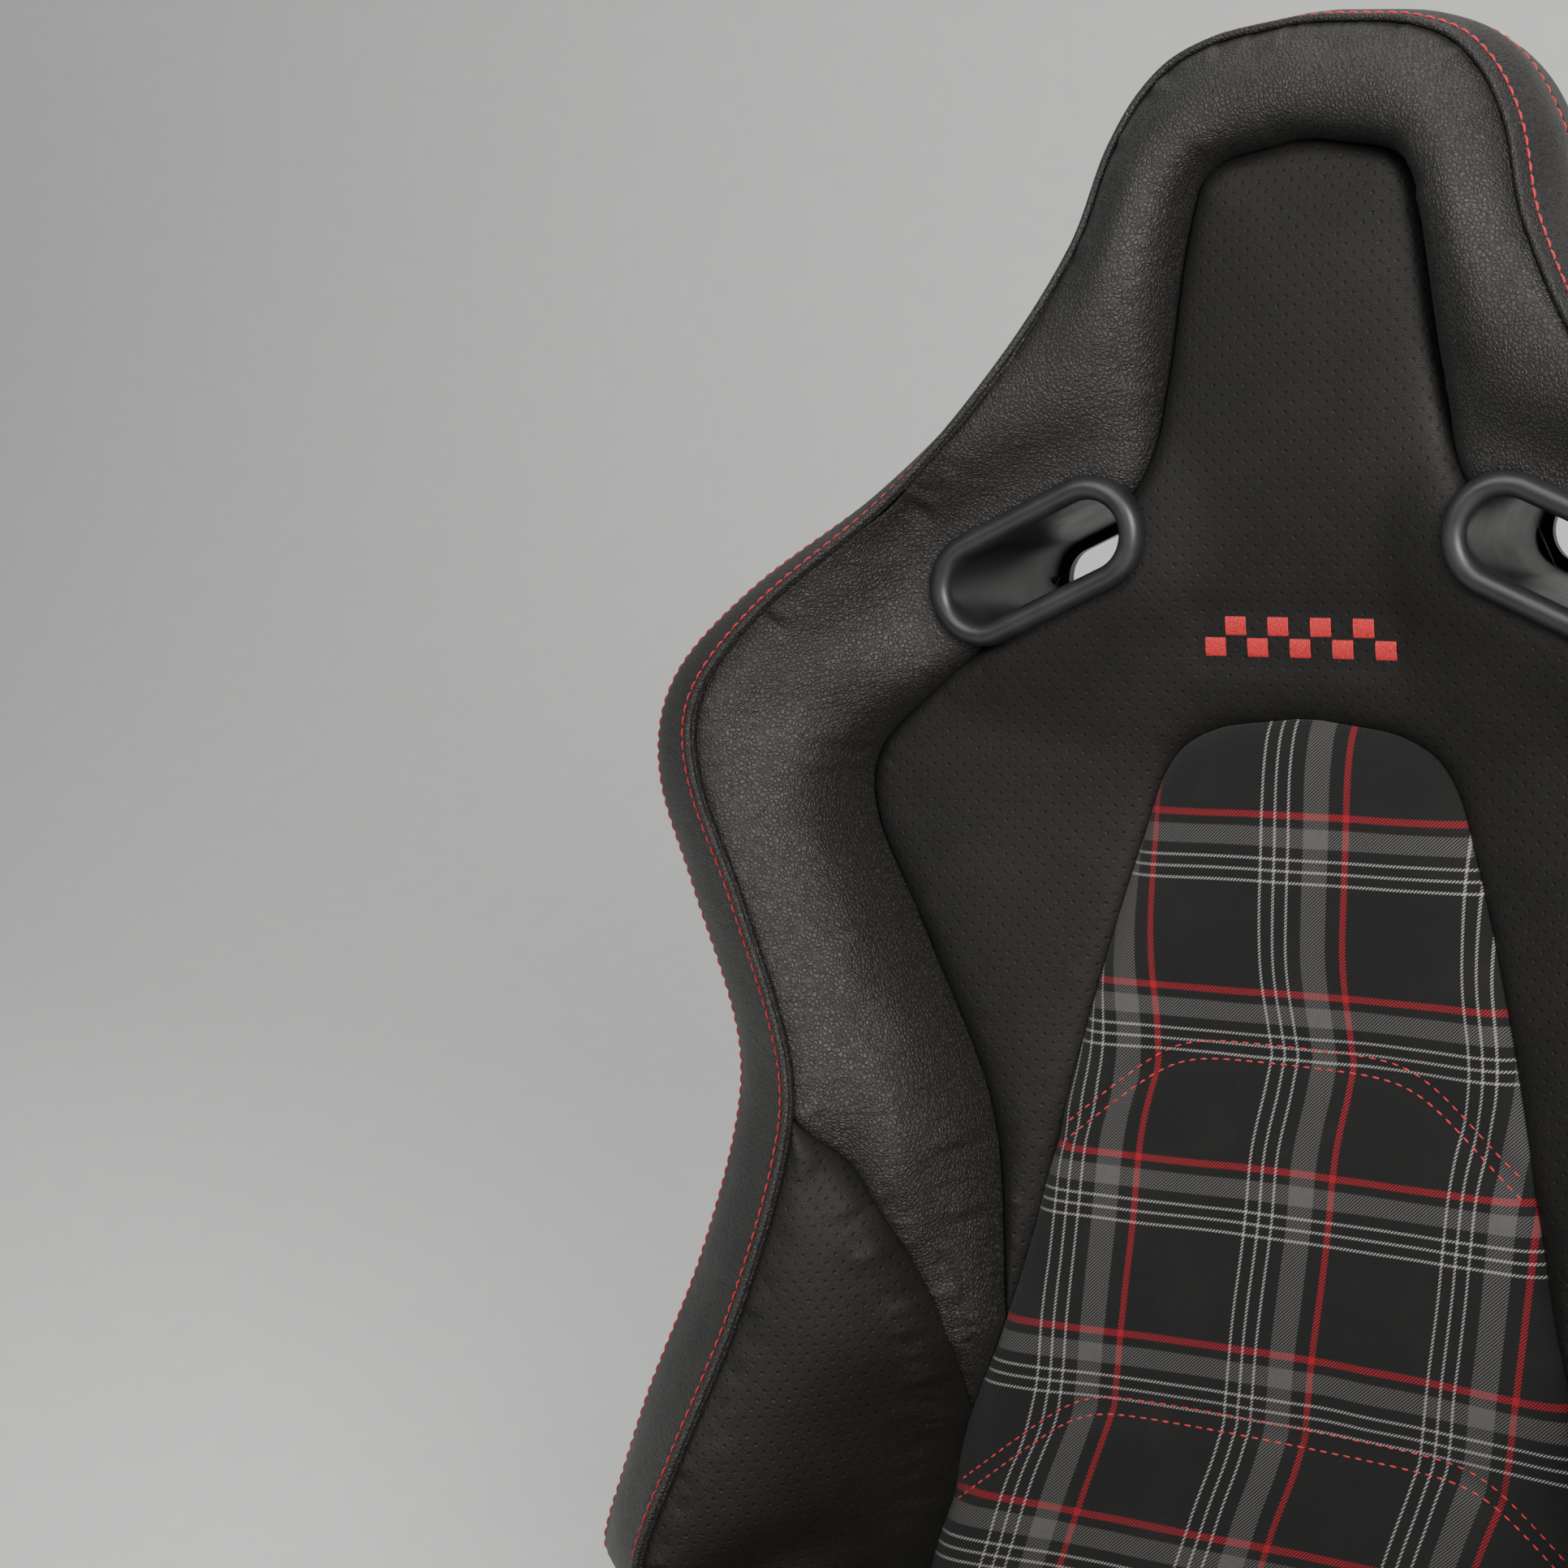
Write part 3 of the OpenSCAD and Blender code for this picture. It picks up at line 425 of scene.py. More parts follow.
def seam_place(p, ring):
    """Place beside the seam, in metres: run along the outline, and distance from it."""
    line = resample(loop_back(ring), 1.0)
    far, i = nearest(p, line)
    return np.stack([run_along(line)[i], far], 1) * MM


PANEL_STEP = 4.2
PILLOW_REACH = 16.0
HELD_REACH = 9.0
VALLEY_HELD = 1.5


def panel(name, ring, shape, place, base, pulls, swell, cuts=(), extra=None, cap=2.5, slack=0.0):
    """A closed padded panel over a closed outline in its own flat coordinates."""
    p, tri = fill_region(ring, PANEL_STEP, cuts)
    beside = seam_place(p, ring)
    rim = beside[:, 1] / MM
    d = relax(shape(p), tri, 14, rim < 0.4)
    d = d + swell * (1 - np.exp(-rim / PILLOW_REACH)) - seam_pull(p, pulls)
    if extra is not None:
        d = d + extra(p)
    top = place(p[:, 0], p[:, 1], d)
    low = place(p[:, 0], p[:, 1], np.full(len(p), float(base)))
    verts, faces = close_body(top, low, tri)
    cut = cut_length(p, shape)
    obj = new_object(name, verts, faces, np.concatenate([cut, cut]), np.concatenate([beside, beside]))
    tidy_normals(obj)
    held = np.ones(2 * len(p))
    near = rim
    for line, _, _ in pulls:
        near = np.minimum(near, nearest(p, line)[0])
    if cuts:
        near = np.minimum(near, np.maximum(slot_distance(p), 0))
    held[:len(p)] = 1 - smooth(near / HELD_REACH)
    if extra is not None:
        held[:len(p)] = np.maximum(held[:len(p)], np.clip(-extra(p) / VALLEY_HELD, 0, 1) ** 2)
    return settle(obj, held, tri, cap, slack)


SETTLE_FRAMES = 20
COVER_CLOTH = {"vertex_group_mass": "held", "quality": 4, "mass": 0.25, "tension_stiffness": 18,
               "compression_stiffness": 12, "shear_stiffness": 8, "bending_stiffness": 0.35,
               "air_damping": 3, "use_pressure": True, "uniform_pressure_force": 4}


def positions(mesh):
    """Points of a mesh as rows."""
    co = np.empty(len(mesh.vertices) * 3)
    mesh.vertices.foreach_get("co", co)
    return co.reshape(-1, 3)


def settle(obj, held, tri, cap, slack):
    """Lets the cover of a pad swell and gather between its seams, with the seams held."""
    group = obj.vertex_groups.new(name="held")
    for k, w in enumerate(held):
        if w > 0.001:
            group.add([k], float(w), "REPLACE")
    start = positions(obj.data)
    soft = obj.modifiers.new("cover", "CLOTH")
    for key, value in COVER_CLOTH.items():
        setattr(soft.settings, key, value)
    soft.settings.shrink_min = -slack
    soft.settings.effector_weights.gravity = 0
    soft.collision_settings.use_collision = False
    soft.collision_settings.use_self_collision = False
    soft.point_cache.frame_start = 1
    soft.point_cache.frame_end = SETTLE_FRAMES
    scene = bpy.context.scene
    for k in range(1, SETTLE_FRAMES + 1):
        scene.frame_set(k)
    move = positions(obj.evaluated_get(bpy.context.evaluated_depsgraph_get()).data) - start
    size = np.linalg.norm(move, axis=1)
    limit = cap * MM
    move *= (limit * np.tanh(size / limit) / np.maximum(size, 1e-9))[:, None]
    n = len(start) // 2
    for k in range(3):
        move[:n, k] = relax(move[:n, k], tri, 9, held[:n] > 0.97) * smooth(2 * (1 - held[:n]))
    move[n:] = 0
    obj.modifiers.remove(soft)
    obj.vertex_groups.remove(group)
    obj.data.vertices.foreach_set("co", (start + move).ravel())
    obj.data.update()
    scene.frame_set(1)
    return obj


def slot_ring(side):
    """Closed oval cut for a slot, a little smaller than its trim."""
    turn = np.linspace(0, 2 * math.pi, 64, endpoint=False) + 1e-4
    r = SLOT_W / 2 - SLOT_HIDDEN
    half = (SLOT_LEN - SLOT_W) / 2
    along = r * np.cos(turn) + half * np.sign(np.cos(turn))
    across = r * np.sin(turn)
    x = SLOT_X + along * math.cos(SLOT_TILT) + across * math.sin(SLOT_TILT)
    s = SLOT_S - along * math.sin(SLOT_TILT) + across * math.cos(SLOT_TILT)
    ring = np.stack([x * side, s], 1)
    return ring if side > 0 else ring[::-1]


def back_panel(name, ring, pulls, swell, slots=True, extra=None, cap=2.5, slack=0.0):
    """A closed padded panel of the backrest over a closed (x, s) outline."""
    cuts = [slot_ring(1), slot_ring(-1)] if slots else []
    return panel(name, ring, back_shape, place_back, FOAM_BACK + 0.5, pulls, swell,
                 cuts=[cut for cut in cuts if inside(cut, ring).any()], extra=extra, cap=cap, slack=slack)


def outward_body(name, verts, faces):
    """A closed body with its faces turned outward."""
    obj = new_object(name, verts, faces)
    tidy_normals(obj)
    return obj


def ring_points(centre, across, over, sides):
    """Points of oval rings, each from its centre and its two half widths."""
    turn = np.linspace(0, 2 * math.pi, sides, endpoint=False)[None, :, None]
    ring = centre[:, None] + np.cos(turn) * across[:, None] + np.sin(turn) * over[:, None]
    return ring.reshape(-1, 3)


TUBE_SIDES = 12


def tube(name, path, radius, up=(0.0, -1.0, 0.15)):
    """Round cord along a path of world points, closed at its ends."""
    p = np.asarray(path, float)
    t = np.roll(p, -1, 0) - np.roll(p, 1, 0)
    t[0], t[-1] = p[1] - p[0], p[-1] - p[-2]
    t /= np.linalg.norm(t, axis=1)[:, None]
    a = np.cross(t, up)
    a /= np.maximum(np.linalg.norm(a, axis=1), 1e-9)[:, None]
    verts = ring_points(p, radius * a, radius * np.cross(a, t), TUBE_SIDES)
    return outward_body(name, verts, capped_loft(len(p), TUBE_SIDES))


ARCH_THREAD = {"length": 3.6, "gap": 1.7, "width": 0.42, "lift": 0.2}


def stitches(name, path, normals, length=4.9, gap=0.8, width=0.66, lift=0.3):
    """A row of thread stitches lying along a path of world points."""
    p = np.asarray(path, float)
    dist = run_along(p) / MM
    rings, sides = 7, 8
    profile = width * np.sin(np.linspace(0.12, math.pi - 0.12, rings))[:, None] ** 0.45
    sink = (1 - np.sin(np.linspace(0, math.pi, rings)))[:, None] * 0.45
    verts, faces = [], []
    start = 0.8
    while start + length < dist[-1]:
        along = np.linspace(start, start + length, rings)
        c = np.stack([np.interp(along, dist, p[:, k]) for k in range(3)], 1)
        m = np.stack([np.interp(along, dist, normals[:, k]) for k in range(3)], 1)
        m /= np.linalg.norm(m, axis=1)[:, None]
        t = c[-1] - c[0]
        t /= np.linalg.norm(t)
        faces += capped_loft(rings, sides, len(verts))
        verts.extend(ring_points(c + m * (lift - sink) * MM, np.cross(m, t) * profile * MM,
                                 m * 0.8 * profile * MM, sides))
        start += length + gap
    return outward_body(name, verts, faces)


# ---------------------------------------------------------------- materials


class Nodes:
    """Short way to build a procedural material."""

    def __init__(self, name):
        self.mat = bpy.data.materials.new(name)
        self.mat.use_nodes = True
        self.tree = self.mat.node_tree
        self.shader = self.tree.nodes["Principled BSDF"]

    def set(self, **values):
        for key, value in values.items():
            self.shader.inputs[key.replace("_", " ")].default_value = value
        return self

    def make(self, kind, **settings):
        node = self.tree.nodes.new(kind)
        for key, value in settings.items():
            setattr(node, key, value)
        return node

    def plug(self, socket, value):
        if isinstance(value, bpy.types.NodeSocket):
            self.tree.links.new(value, socket)
        else:
            socket.default_value = value

    def wire(self, kind, values, out=0, **settings):
        """One output of a new node, with its inputs set or linked."""
        node = self.make(kind, **settings)
        for key, value in values.items():
            self.plug(node.inputs[key], value)
        return node.outputs[out]

    def math(self, op, a, b=0.0, c=0.0):
        return self.wire("ShaderNodeMath", {0: a, 1: b, 2: c}, operation=op)

    def mix(self, factor, a, b):
        return self.wire("ShaderNodeMix", {0: factor, 6: a, 7: b}, 2, data_type="RGBA")

    def ramp(self, value, low, high, out_low=0.0, out_high=1.0):
        return self.wire("ShaderNodeMapRange", {0: value, 1: low, 2: high, 3: out_low, 4: out_high},
                         interpolation_type="SMOOTHSTEP")

    def bell(self, value, centre, width, height):
        off = self.math("DIVIDE", self.math("SUBTRACT", value, centre), width)
        drop = self.math("MULTIPLY", self.math("MULTIPLY", off, off), -1.0)
        return self.math("MULTIPLY", self.math("EXPONENT", drop), height)

    def place(self):
        return self.make("ShaderNodeTexCoord").outputs["Object"]

    def cut(self):
        return self.make("ShaderNodeUVMap", uv_map="cut").outputs[0]

    def noise(self, vector, scale, detail=3.0, rough=0.5, distort=0.0):
        return self.wire("ShaderNodeTexNoise", {"Vector": vector, "Scale": scale, "Detail": detail,
                                                "Roughness": rough, "Distortion": distort})

    def cells(self, vector, scale, feature="DISTANCE_TO_EDGE"):
        return self.wire("ShaderNodeTexVoronoi", {"Vector": vector, "Scale": scale}, feature=feature)

    def stretch(self, vector, x, y, z):
        return self.wire("ShaderNodeVectorMath", {0: vector, 1: (x, y, z)}, operation="MULTIPLY")

    def split(self, vector):
        node = self.make("ShaderNodeSeparateXYZ")
        self.plug(node.inputs[0], vector)
        return node.outputs

    def bump(self, height, distance, strength=1.0, normal=None):
        values = {"Strength": strength, "Distance": distance, "Height": height}
        if normal is not None:
            values["Normal"] = normal
        return self.wire("ShaderNodeBump", values)

    def finish(self, colour=None, rough=None, normal=None):
        for key, value in (("Base Color", colour), ("Roughness", rough), ("Normal", normal)):
            if value is not None:
                self.plug(self.shader.inputs[key], value)
        return self.mat


def leather_grain(n, where, size):
    """Pebbled grain: a height of round cells with fine creases between them."""
    shifted = n.make("ShaderNodeVectorMath", operation="ADD")
    wobble = n.make("ShaderNodeTexNoise")
    n.plug(wobble.inputs["Vector"], where)
    wobble.inputs["Scale"].default_value = 0.35 / size
    soft = n.make("ShaderNodeVectorMath", operation="SCALE")
    n.plug(soft.inputs[0], wobble.outputs[1])
    soft.inputs["Scale"].default_value = size * 0.9
    n.plug(shifted.inputs[0], where)
    n.plug(shifted.inputs[1], soft.outputs[0])
    edge = n.cells(shifted.outputs[0], 1 / size)
    pebble = n.ramp(edge, 0.0, 0.26)
    fine = n.noise(where, 2.2 / size, 3.0, 0.6)
    return n.math("MULTIPLY_ADD", fine, 0.3, pebble)


def gathers(n):
    """Small gathers of the hide that run in from a seam and fade out."""
    along, far, _ = n.split(n.make("ShaderNodeUVMap", uv_map="seam").outputs[0])
    line = n.make("ShaderNodeCombineXYZ")
    for socket, run, scale in zip(line.inputs, (along, far), (330.0, 42.0)):
        n.plug(socket, n.math("MULTIPLY", run, scale))
    ripple = n.noise(line.outputs[0], 1.0, 2.0, 0.55, 0.5)
    fade = n.math("MULTIPLY", n.ramp(far, 0.017, 0.003), n.ramp(far, 0.0, 0.0025))
    return n.math("MULTIPLY", ripple, fade)


def smooth_leather(sewn):
    n = Nodes("smooth_leather_sewn" if sewn else "smooth_leather")
    where = n.place()
    grain = leather_grain(n, where, 0.00190)
    creases = n.noise(n.stretch(where, 0.8, 1.0, 2.8), 170.0, 5.0, 0.66, 0.8)
    folds = n.noise(n.stretch(where, 0.6, 1.0, 2.2), 30.0, 4.0, 0.6, 0.5)
    mottle = n.noise(where, 24.0, 5.0, 0.62)
    colour = n.mix(n.ramp(mottle, 0.3, 0.72), (0.0076, 0.0072, 0.0066, 1), (0.0132, 0.0126, 0.0115, 1))
    # Painted shade: the creases between the pebbles of the grain get a darker colour
    colour = n.mix(n.ramp(grain, 0.15, 0.6), (0.0032, 0.0030, 0.0028, 1), colour)
    rough = n.ramp(n.math("ADD", n.math("MULTIPLY", grain, 0.35), mottle), 0.3, 1.1, 0.60, 0.45)
    low = n.bump(folds, 0.0014, 0.6)
    if sewn:
        low = n.bump(gathers(n), 0.0009, 0.6, low)
    mid = n.bump(creases, 0.00075, 0.65, low)
    top = n.bump(grain, 0.00027, 0.9, mid)
    n.set(Specular_IOR_Level=0.5, Sheen_Weight=0.02, Sheen_Roughness=0.5)
    return n.finish(colour, rough, top)


def perforated_leather():
    n = Nodes("perforated_leather")
    where = n.place()
    u, v, _ = n.split(n.cut())
    lines, radius = ((u, 0.0073), (v, 0.0081)), 0.00062
    far = []
    for shift in (0.0, 0.5):
        off = [n.math("SUBTRACT", n.math("FRACT", n.math("ADD", n.math("DIVIDE", run, pitch), shift)), 0.5)
               for run, pitch in lines]
        du, dv = [n.math("MULTIPLY", step, pitch) for step, (_, pitch) in zip(off, lines)]
        far.append(n.math("SQRT", n.math("ADD", n.math("MULTIPLY", du, du), n.math("MULTIPLY", dv, dv))))
    near = n.math("MINIMUM", far[0], far[1])
    # Mask of the dark core of each perforation, used for painted shade inside the holes
    painted_hole_shade = n.ramp(near, radius * 0.7, radius * 1.2)
    dish = n.ramp(near, radius * 0.6, radius * 1.9)
    grain = leather_grain(n, where, 0.0010)
    mottle = n.noise(where, 26.0, 4.0, 0.6)
    colour = n.mix(n.ramp(mottle, 0.3, 0.72), (0.0048, 0.0046, 0.0042, 1), (0.0085, 0.0081, 0.0074, 1))
    # Painted shade: the creases between the cells of the grain get a darker colour
    colour = n.mix(n.ramp(grain, 0.1, 0.5), (0.0030, 0.0029, 0.0026, 1), colour)
    # Painted shade: the inside of each perforation is coloured near black
    colour = n.mix(painted_hole_shade, (0.002, 0.002, 0.002, 1), colour)
    rough = n.ramp(grain, 0.2, 1.1, 0.62, 0.52)
    low = n.bump(n.noise(where, 60.0, 4.0, 0.6), 0.0006, 0.4)
    mid = n.bump(grain, 0.00012, 0.6, low)
    top = n.bump(dish, 0.00030, 0.7, mid)
    n.set(Specular_IOR_Level=0.26, Sheen_Weight=0.01, Sheen_Roughness=0.6)
    return n.finish(colour, rough, top)


def stripe(n, position, centre, width):
    """1 on a stripe of the plaid and 0 off it."""
    off = n.math("ABSOLUTE", n.math("SUBTRACT", position, centre))
    return n.ramp(off, width / 2 + 0.0003, width / 2 - 0.0003)


def threads(n, position, repeat, lines, thin):
    """Colour of one thread system of the plaid at a position."""
    place = n.math("MULTIPLY", n.math("FRACT", n.math("DIVIDE", position, repeat)), repeat)
    colour = (0.0085, 0.0084, 0.0083, 1)
    band, whites, red = lines
    colour = n.mix(stripe(n, place, band[0], band[1]), colour, (0.105, 0.103, 0.100, 1))
    for centre in whites:
        colour = n.mix(stripe(n, place, centre, thin), colour, (0.40, 0.39, 0.378, 1))
    return n.mix(stripe(n, place, red[0], red[1]), colour, (0.36, 0.008, 0.020, 1))


def plaid_cloth():
    n = Nodes("plaid_cloth")
    where = n.place()
    u, v, _ = n.split(n.cut())
    wave = n.noise(n.cut(), 9.0, 2.0, 0.5)
    drift = n.math("MULTIPLY", n.math("SUBTRACT", wave, 0.5), 0.004)
    low = n.math("MAXIMUM", n.math("SUBTRACT", 0.254, v), 0.0)
    low = n.math("MULTIPLY", low, low)
    arches = n.math("ADD", n.bell(v, 0.306, 0.032, 0.0063), n.bell(v, 0.140, 0.030, 0.0030))
    lean = n.math("MULTIPLY_ADD", low, -0.9, arches)
    across = n.math("ADD", n.math("SUBTRACT", n.math("SUBTRACT", u, 0.0214), lean), drift)
    sag = n.math("MULTIPLY_ADD", low, -0.48, n.math("MULTIPLY_ADD", u, 0.013, drift))
    down = n.math("ADD", n.math("SUBTRACT", 0.413, v), sag)
    warp = threads(n, n.math("ADD", across, 0.050), 0.0903,
                   ((0.0364, 0.0114), (0.0117, 0.0178, 0.0239), (0.0500, 0.0028)), 0.0011)
    weft = threads(n, n.math("ADD", down, 0.005), 0.0775,
                   ((0.0145, 0.0084), (0.0240, 0.0290, 0.0340), (0.0050, 0.0030)), 0.0011)
    diagonal = n.math("FRACT", n.math("DIVIDE", n.math("SUBTRACT", v, u), 0.00150))
    over = n.ramp(n.math("ABSOLUTE", n.math("SUBTRACT", diagonal, 0.5)), 0.15, 0.35)
    colour = n.mix(over, warp, weft)
    fuzz = n.noise(where, 1100.0, 3.0, 0.7)
    dust = n.noise(where, 26.0, 4.0, 0.6)
    colour = n.mix(n.math("MULTIPLY", fuzz, 0.5), colour, (0.008, 0.008, 0.0085, 1))
    colour = n.mix(n.ramp(dust, 0.45, 0.85, 0.0, 0.05), colour, (0.10, 0.095, 0.09, 1))
    cord = n.math("PINGPONG", diagonal, 0.5)
    yarn_u = n.math("PINGPONG", n.math("DIVIDE", u, 0.00050), 0.5)
    yarn_v = n.math("PINGPONG", n.math("DIVIDE", v, 0.00050), 0.5)
    weave = n.math("ADD", n.math("MULTIPLY", cord, 1.8), n.math("ADD", yarn_u, yarn_v))
    low = n.bump(n.noise(where, 38.0, 3.0, 0.5), 0.0009, 0.6)
    top = n.bump(n.math("ADD", weave, n.math("MULTIPLY", fuzz, 0.5)), 0.00020, 0.85, low)
    n.set(Specular_IOR_Level=0.2, Sheen_Weight=0.10, Sheen_Roughness=0.45)
    return n.finish(colour, 0.84, top)


def red_thread():
    n = Nodes("red_thread")
    where = n.place()
    twist = n.noise(where, 1500.0, 2.0, 0.5)
    colour = n.mix(n.ramp(twist, 0.3, 0.7), (0.30, 0.006, 0.010, 1), (0.62, 0.022, 0.030, 1))
    n.set(Specular_IOR_Level=0.35, Sheen_Weight=0.2)
    return n.finish(colour, 0.55, n.bump(twist, 0.0002, 0.7))


def worn_black(name, relief, wear, patches, tones, rough, bump, **shader):
    """A black finish with a fine relief, and worn patches that differ in tone and shine."""
    n = Nodes(name)
    where = n.place()
    relief = n.noise(where, *relief)
    wear = n.noise(where, *wear)
    colour = n.mix(n.ramp(wear, *patches), *tones)
    n.set(Specular_IOR_Level=0.5, **shader)
    return n.finish(colour, n.ramp(wear, *rough), n.bump(relief, *bump))


def moulded_plastic():
    return worn_black("moulded_plastic", (700.0, 3.0, 0.6), (45.0, 5.0, 0.65), (0.35, 0.7),
                      ((0.014, 0.014, 0.0145, 1), (0.021, 0.021, 0.0215, 1)), (0.3, 0.75, 0.36, 0.46),
                      (0.00006, 0.5))


def black_steel():
    return worn_black("black_steel", (420.0, 2.0, 0.5), (60.0, 6.0, 0.7), (0.4, 0.75),
                      ((0.016, 0.016, 0.017, 1), (0.030, 0.030, 0.031, 1)), (0.3, 0.8, 0.34, 0.5),
                      (0.0001, 0.4), Coat_Weight=0.15, Coat_Roughness=0.3)


def zinc_steel():
    n = Nodes("zinc_steel")
    where = n.place()
    spangle = n.cells(where, 160.0, "F1")
    brushed = n.noise(n.stretch(where, 1.0, 0.04, 1.0), 900.0, 3.0, 0.6)
    wear = n.noise(where, 40.0, 5.0, 0.65)
    colour = n.mix(n.ramp(spangle, 0.1, 0.7), (0.36, 0.36, 0.35, 1), (0.50, 0.50, 0.49, 1))
    colour = n.mix(n.ramp(wear, 0.55, 0.8), colour, (0.24, 0.235, 0.225, 1))
    n.set(Metallic=1.0)
    return n.finish(colour, n.ramp(wear, 0.3, 0.8, 0.30, 0.46), n.bump(brushed, 0.00005, 0.5))


FINISH = {"smooth_leather": smooth_leather(False), "perforated_leather": perforated_leather(),
          "plaid_cloth": plaid_cloth(), "red_thread": red_thread(), "black_plastic": moulded_plastic(),
          "black_steel": black_steel(), "zinc_steel": zinc_steel()}
SEWN_LEATHER = smooth_leather(True)


def dress(obj, slot, body, *nodes):
    """Gives a piece the material of its slot and its body, and hides the CAD nodes it stands for."""
    obj.data.materials.clear()
    sewn = slot == "smooth_leather" and "seam" in obj.data.uv_layers
    obj.data.materials.append(SEWN_LEATHER if sewn else FINISH[slot])
    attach(obj, body)
    if nodes:
        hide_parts(*nodes)
    return obj


for part in frame["record"]["subparts"]:
    carried = frame["nodes"][part["node"]]
    carried.data.materials.clear()
    carried.data.materials.append(FINISH[part["material_slot"]])

# ---------------------------------------------------------------- backrest panels

# Seams that draw a cover in: (line, depth, reach)
PIPE_GROOVE = (EDGE_LINE, 4.0, 5.0)


def closed(*lines):
    """One closed outline from lines that meet end to end."""
    whole = np.concatenate(lines)
    keep = np.concatenate([[True], np.linalg.norm(np.diff(whole, axis=0), axis=1) > 0.05])
    whole = whole[keep]
    return resample(loop_back(whole), 2.4)[:-1]


inner = panel_side(SLOPE_LOW)
surround_ring = closed(over_top(EDGE_X, SLOPE_TOP, CROWN), flip(SLOPE_SIDE), flip(inner)[::-1],
                       inner[::-1], SLOPE_SIDE)
cloth_side = side_line(CLOTH_X, PANEL_LOW, CLOTH_TOP)
centre_ring = closed(over_top(PANEL_X, PANEL_LOW, PANEL_TOP), flip(cloth_side)[::-1], cloth_side[::-1])
insert_ring = closed(over_top(CLOTH_X, INSERT_BOTTOM, CLOTH_TOP))
wing_ring = closed(side_line(EDGE_X, BACK_BOTTOM, SLOPE_TOP), SLOPE_SIDE[::-1],
                   side_line(CLOTH_X, BACK_BOTTOM, SLOPE_LOW)[::-1])

surround = back_panel("leather_surround", surround_ring,
                      [(PANEL_LINE, 7.5, 4.5), PIPE_GROOVE, (SLOPE_BOTH, 6.0, 4.0)], swell=3.0,
                      cap=3.0, slack=0.005)
dress(surround, "smooth_leather", "backrest", "headrest_surround", "shoulder_bolster_left",
      "shoulder_bolster_right")


def emblem_recess(p):
    """Dip of the centre panel round the embroidered bar."""
    x = np.maximum(np.abs(p[:, 0]) - 44, 0)
    s = np.maximum(np.abs(p[:, 1] - 491) - 10, 0)
    return -1.6 * np.exp(-(np.hypot(x, s) / 6.5) ** 2)


centre = back_panel("perforated_centre", centre_ring,
                    [(PANEL_LINE, 9.0, 3.5), (CLOTH_LINE, 5.0, 4.5)], swell=2.0,
                    extra=emblem_recess)
dress(centre, "perforated_leather", "backrest", "centre_pad")

# Sewn arches: (height of the top, half width of its level part), and how steeply they fall
BACK_ARCHES = ((312, 55), (146, 93))
BACK_FALL = 0.88
SEAT_FALL = 0.62
ARCH_GAP = 8.0
LIP_ROUND = 16.0


def arch_height(x, top, flat, fall):
    """A sewn arch: level in the middle, sloping down past flat."""
    return top - fall * 8 * np.log1p(np.exp((np.abs(x) - flat) / 8))


def arch_valley(p):
    """Valleys of the insert between its twin rows of stitches, and its rounded lower edge."""
    pull = np.zeros(len(p))
    for top, flat in BACK_ARCHES:
        off = (p[:, 1] - arch_height(p[:, 0], top, flat, BACK_FALL) + ARCH_GAP / 2) / np.sqrt(
            1 + (BACK_FALL * smooth((np.abs(p[:, 0]) - flat + 15) / 30)) ** 2)
        pull = np.minimum(pull, -2.6 * np.exp(-(off / 6.5) ** 2))
    short = np.clip(INSERT_BOTTOM + LIP_ROUND - p[:, 1], 0, LIP_ROUND)
    return pull - (LIP_ROUND - np.sqrt(LIP_ROUND**2 - short**2))


insert = back_panel("plaid_insert", insert_ring, [(CLOTH_LINE, 5.0, 4.0)], swell=2.5,
                    slots=False, extra=arch_valley, cap=3.0, slack=0.006)
dress(insert, "plaid_cloth", "backrest", "lumbar_insert")

for side, tag in ((1, "left"), (-1, "right")):
    lower = back_panel("lower_wing_" + tag, wing_ring if side > 0 else flip(wing_ring),
                       [PIPE_GROOVE, (SLOPE_BOTH, 6.0, 3.0), (CLOTH_LINE, 5.0, 6.0)], swell=4.0,
                       slots=False, cap=3.0, slack=0.004)
    dress(lower, "perforated_leather", "backrest", "lower_bolster_" + tag)

# ---------------------------------------------------------------- edge band, piping, stitches

BAND_STEP = 4.2
BAND_ROWS = 19
BAND_THICK = 2.5
BAND_JOINT = 612


def loop_pair():
    """Matching points along the front edge and the rear seam, right side over the top to left."""
    edge_s = np.linspace(BACK_BOTTOM, CROWN, 2400)
    seam_s = np.linspace(BACK_BOTTOM, SEAM_TOP, 2400)
    edge = np.stack([at(EDGE_X, edge_s), edge_s, edge_depth(edge_s)], 1)
    seam = np.stack([at(SEAM_X, seam_s), seam_s, at(SEAM_D, seam_s)], 1)
    both = np.concatenate([edge, seam], 1)
    other = both[::-1].copy()
    other[:, [0, 3]] *= -1
    both = resample(np.concatenate([both, other]), BAND_STEP)
    return both[:, :3], both[:, 3:]


def band_points(edge, seam, t):
    """Points across the edge band: t is 0 at the piping and 1 at the rear seam."""
    arc = math.sin(math.pi * t)
    bulge = 5.5 * arc * np.clip(np.abs(edge[:, 0]) / 90, 0, 1)
    fold = 2.0 * (math.exp(-t * 22) + math.exp(-(1 - t) * 22))
    joint = 1.6 * np.exp(-((edge[:, 1] - BAND_JOINT) / 2.6) ** 2)
    p = edge * (1 - t) + seam * t
    p[:, 0] += np.sign(edge[:, 0]) * (bulge - fold * 0.5 - joint)
    p[:, 1] += 3.0 * arc * smooth((edge[:, 1] - 700) / 50)
    p[:, 2] -= fold * 0.4
    return p


def grid_normals(grid):
    """Outward unit normals of a grid of points on the backrest."""
    normal = np.cross(np.gradient(grid, axis=1), np.gradient(grid, axis=0))
    normal /= np.maximum(np.linalg.norm(normal, axis=2), 1e-12)[:, :, None]
    outward = ((grid - place_back(0.0, 400.0, 60.0)) * normal).sum() > 0
    return normal if outward else -normal


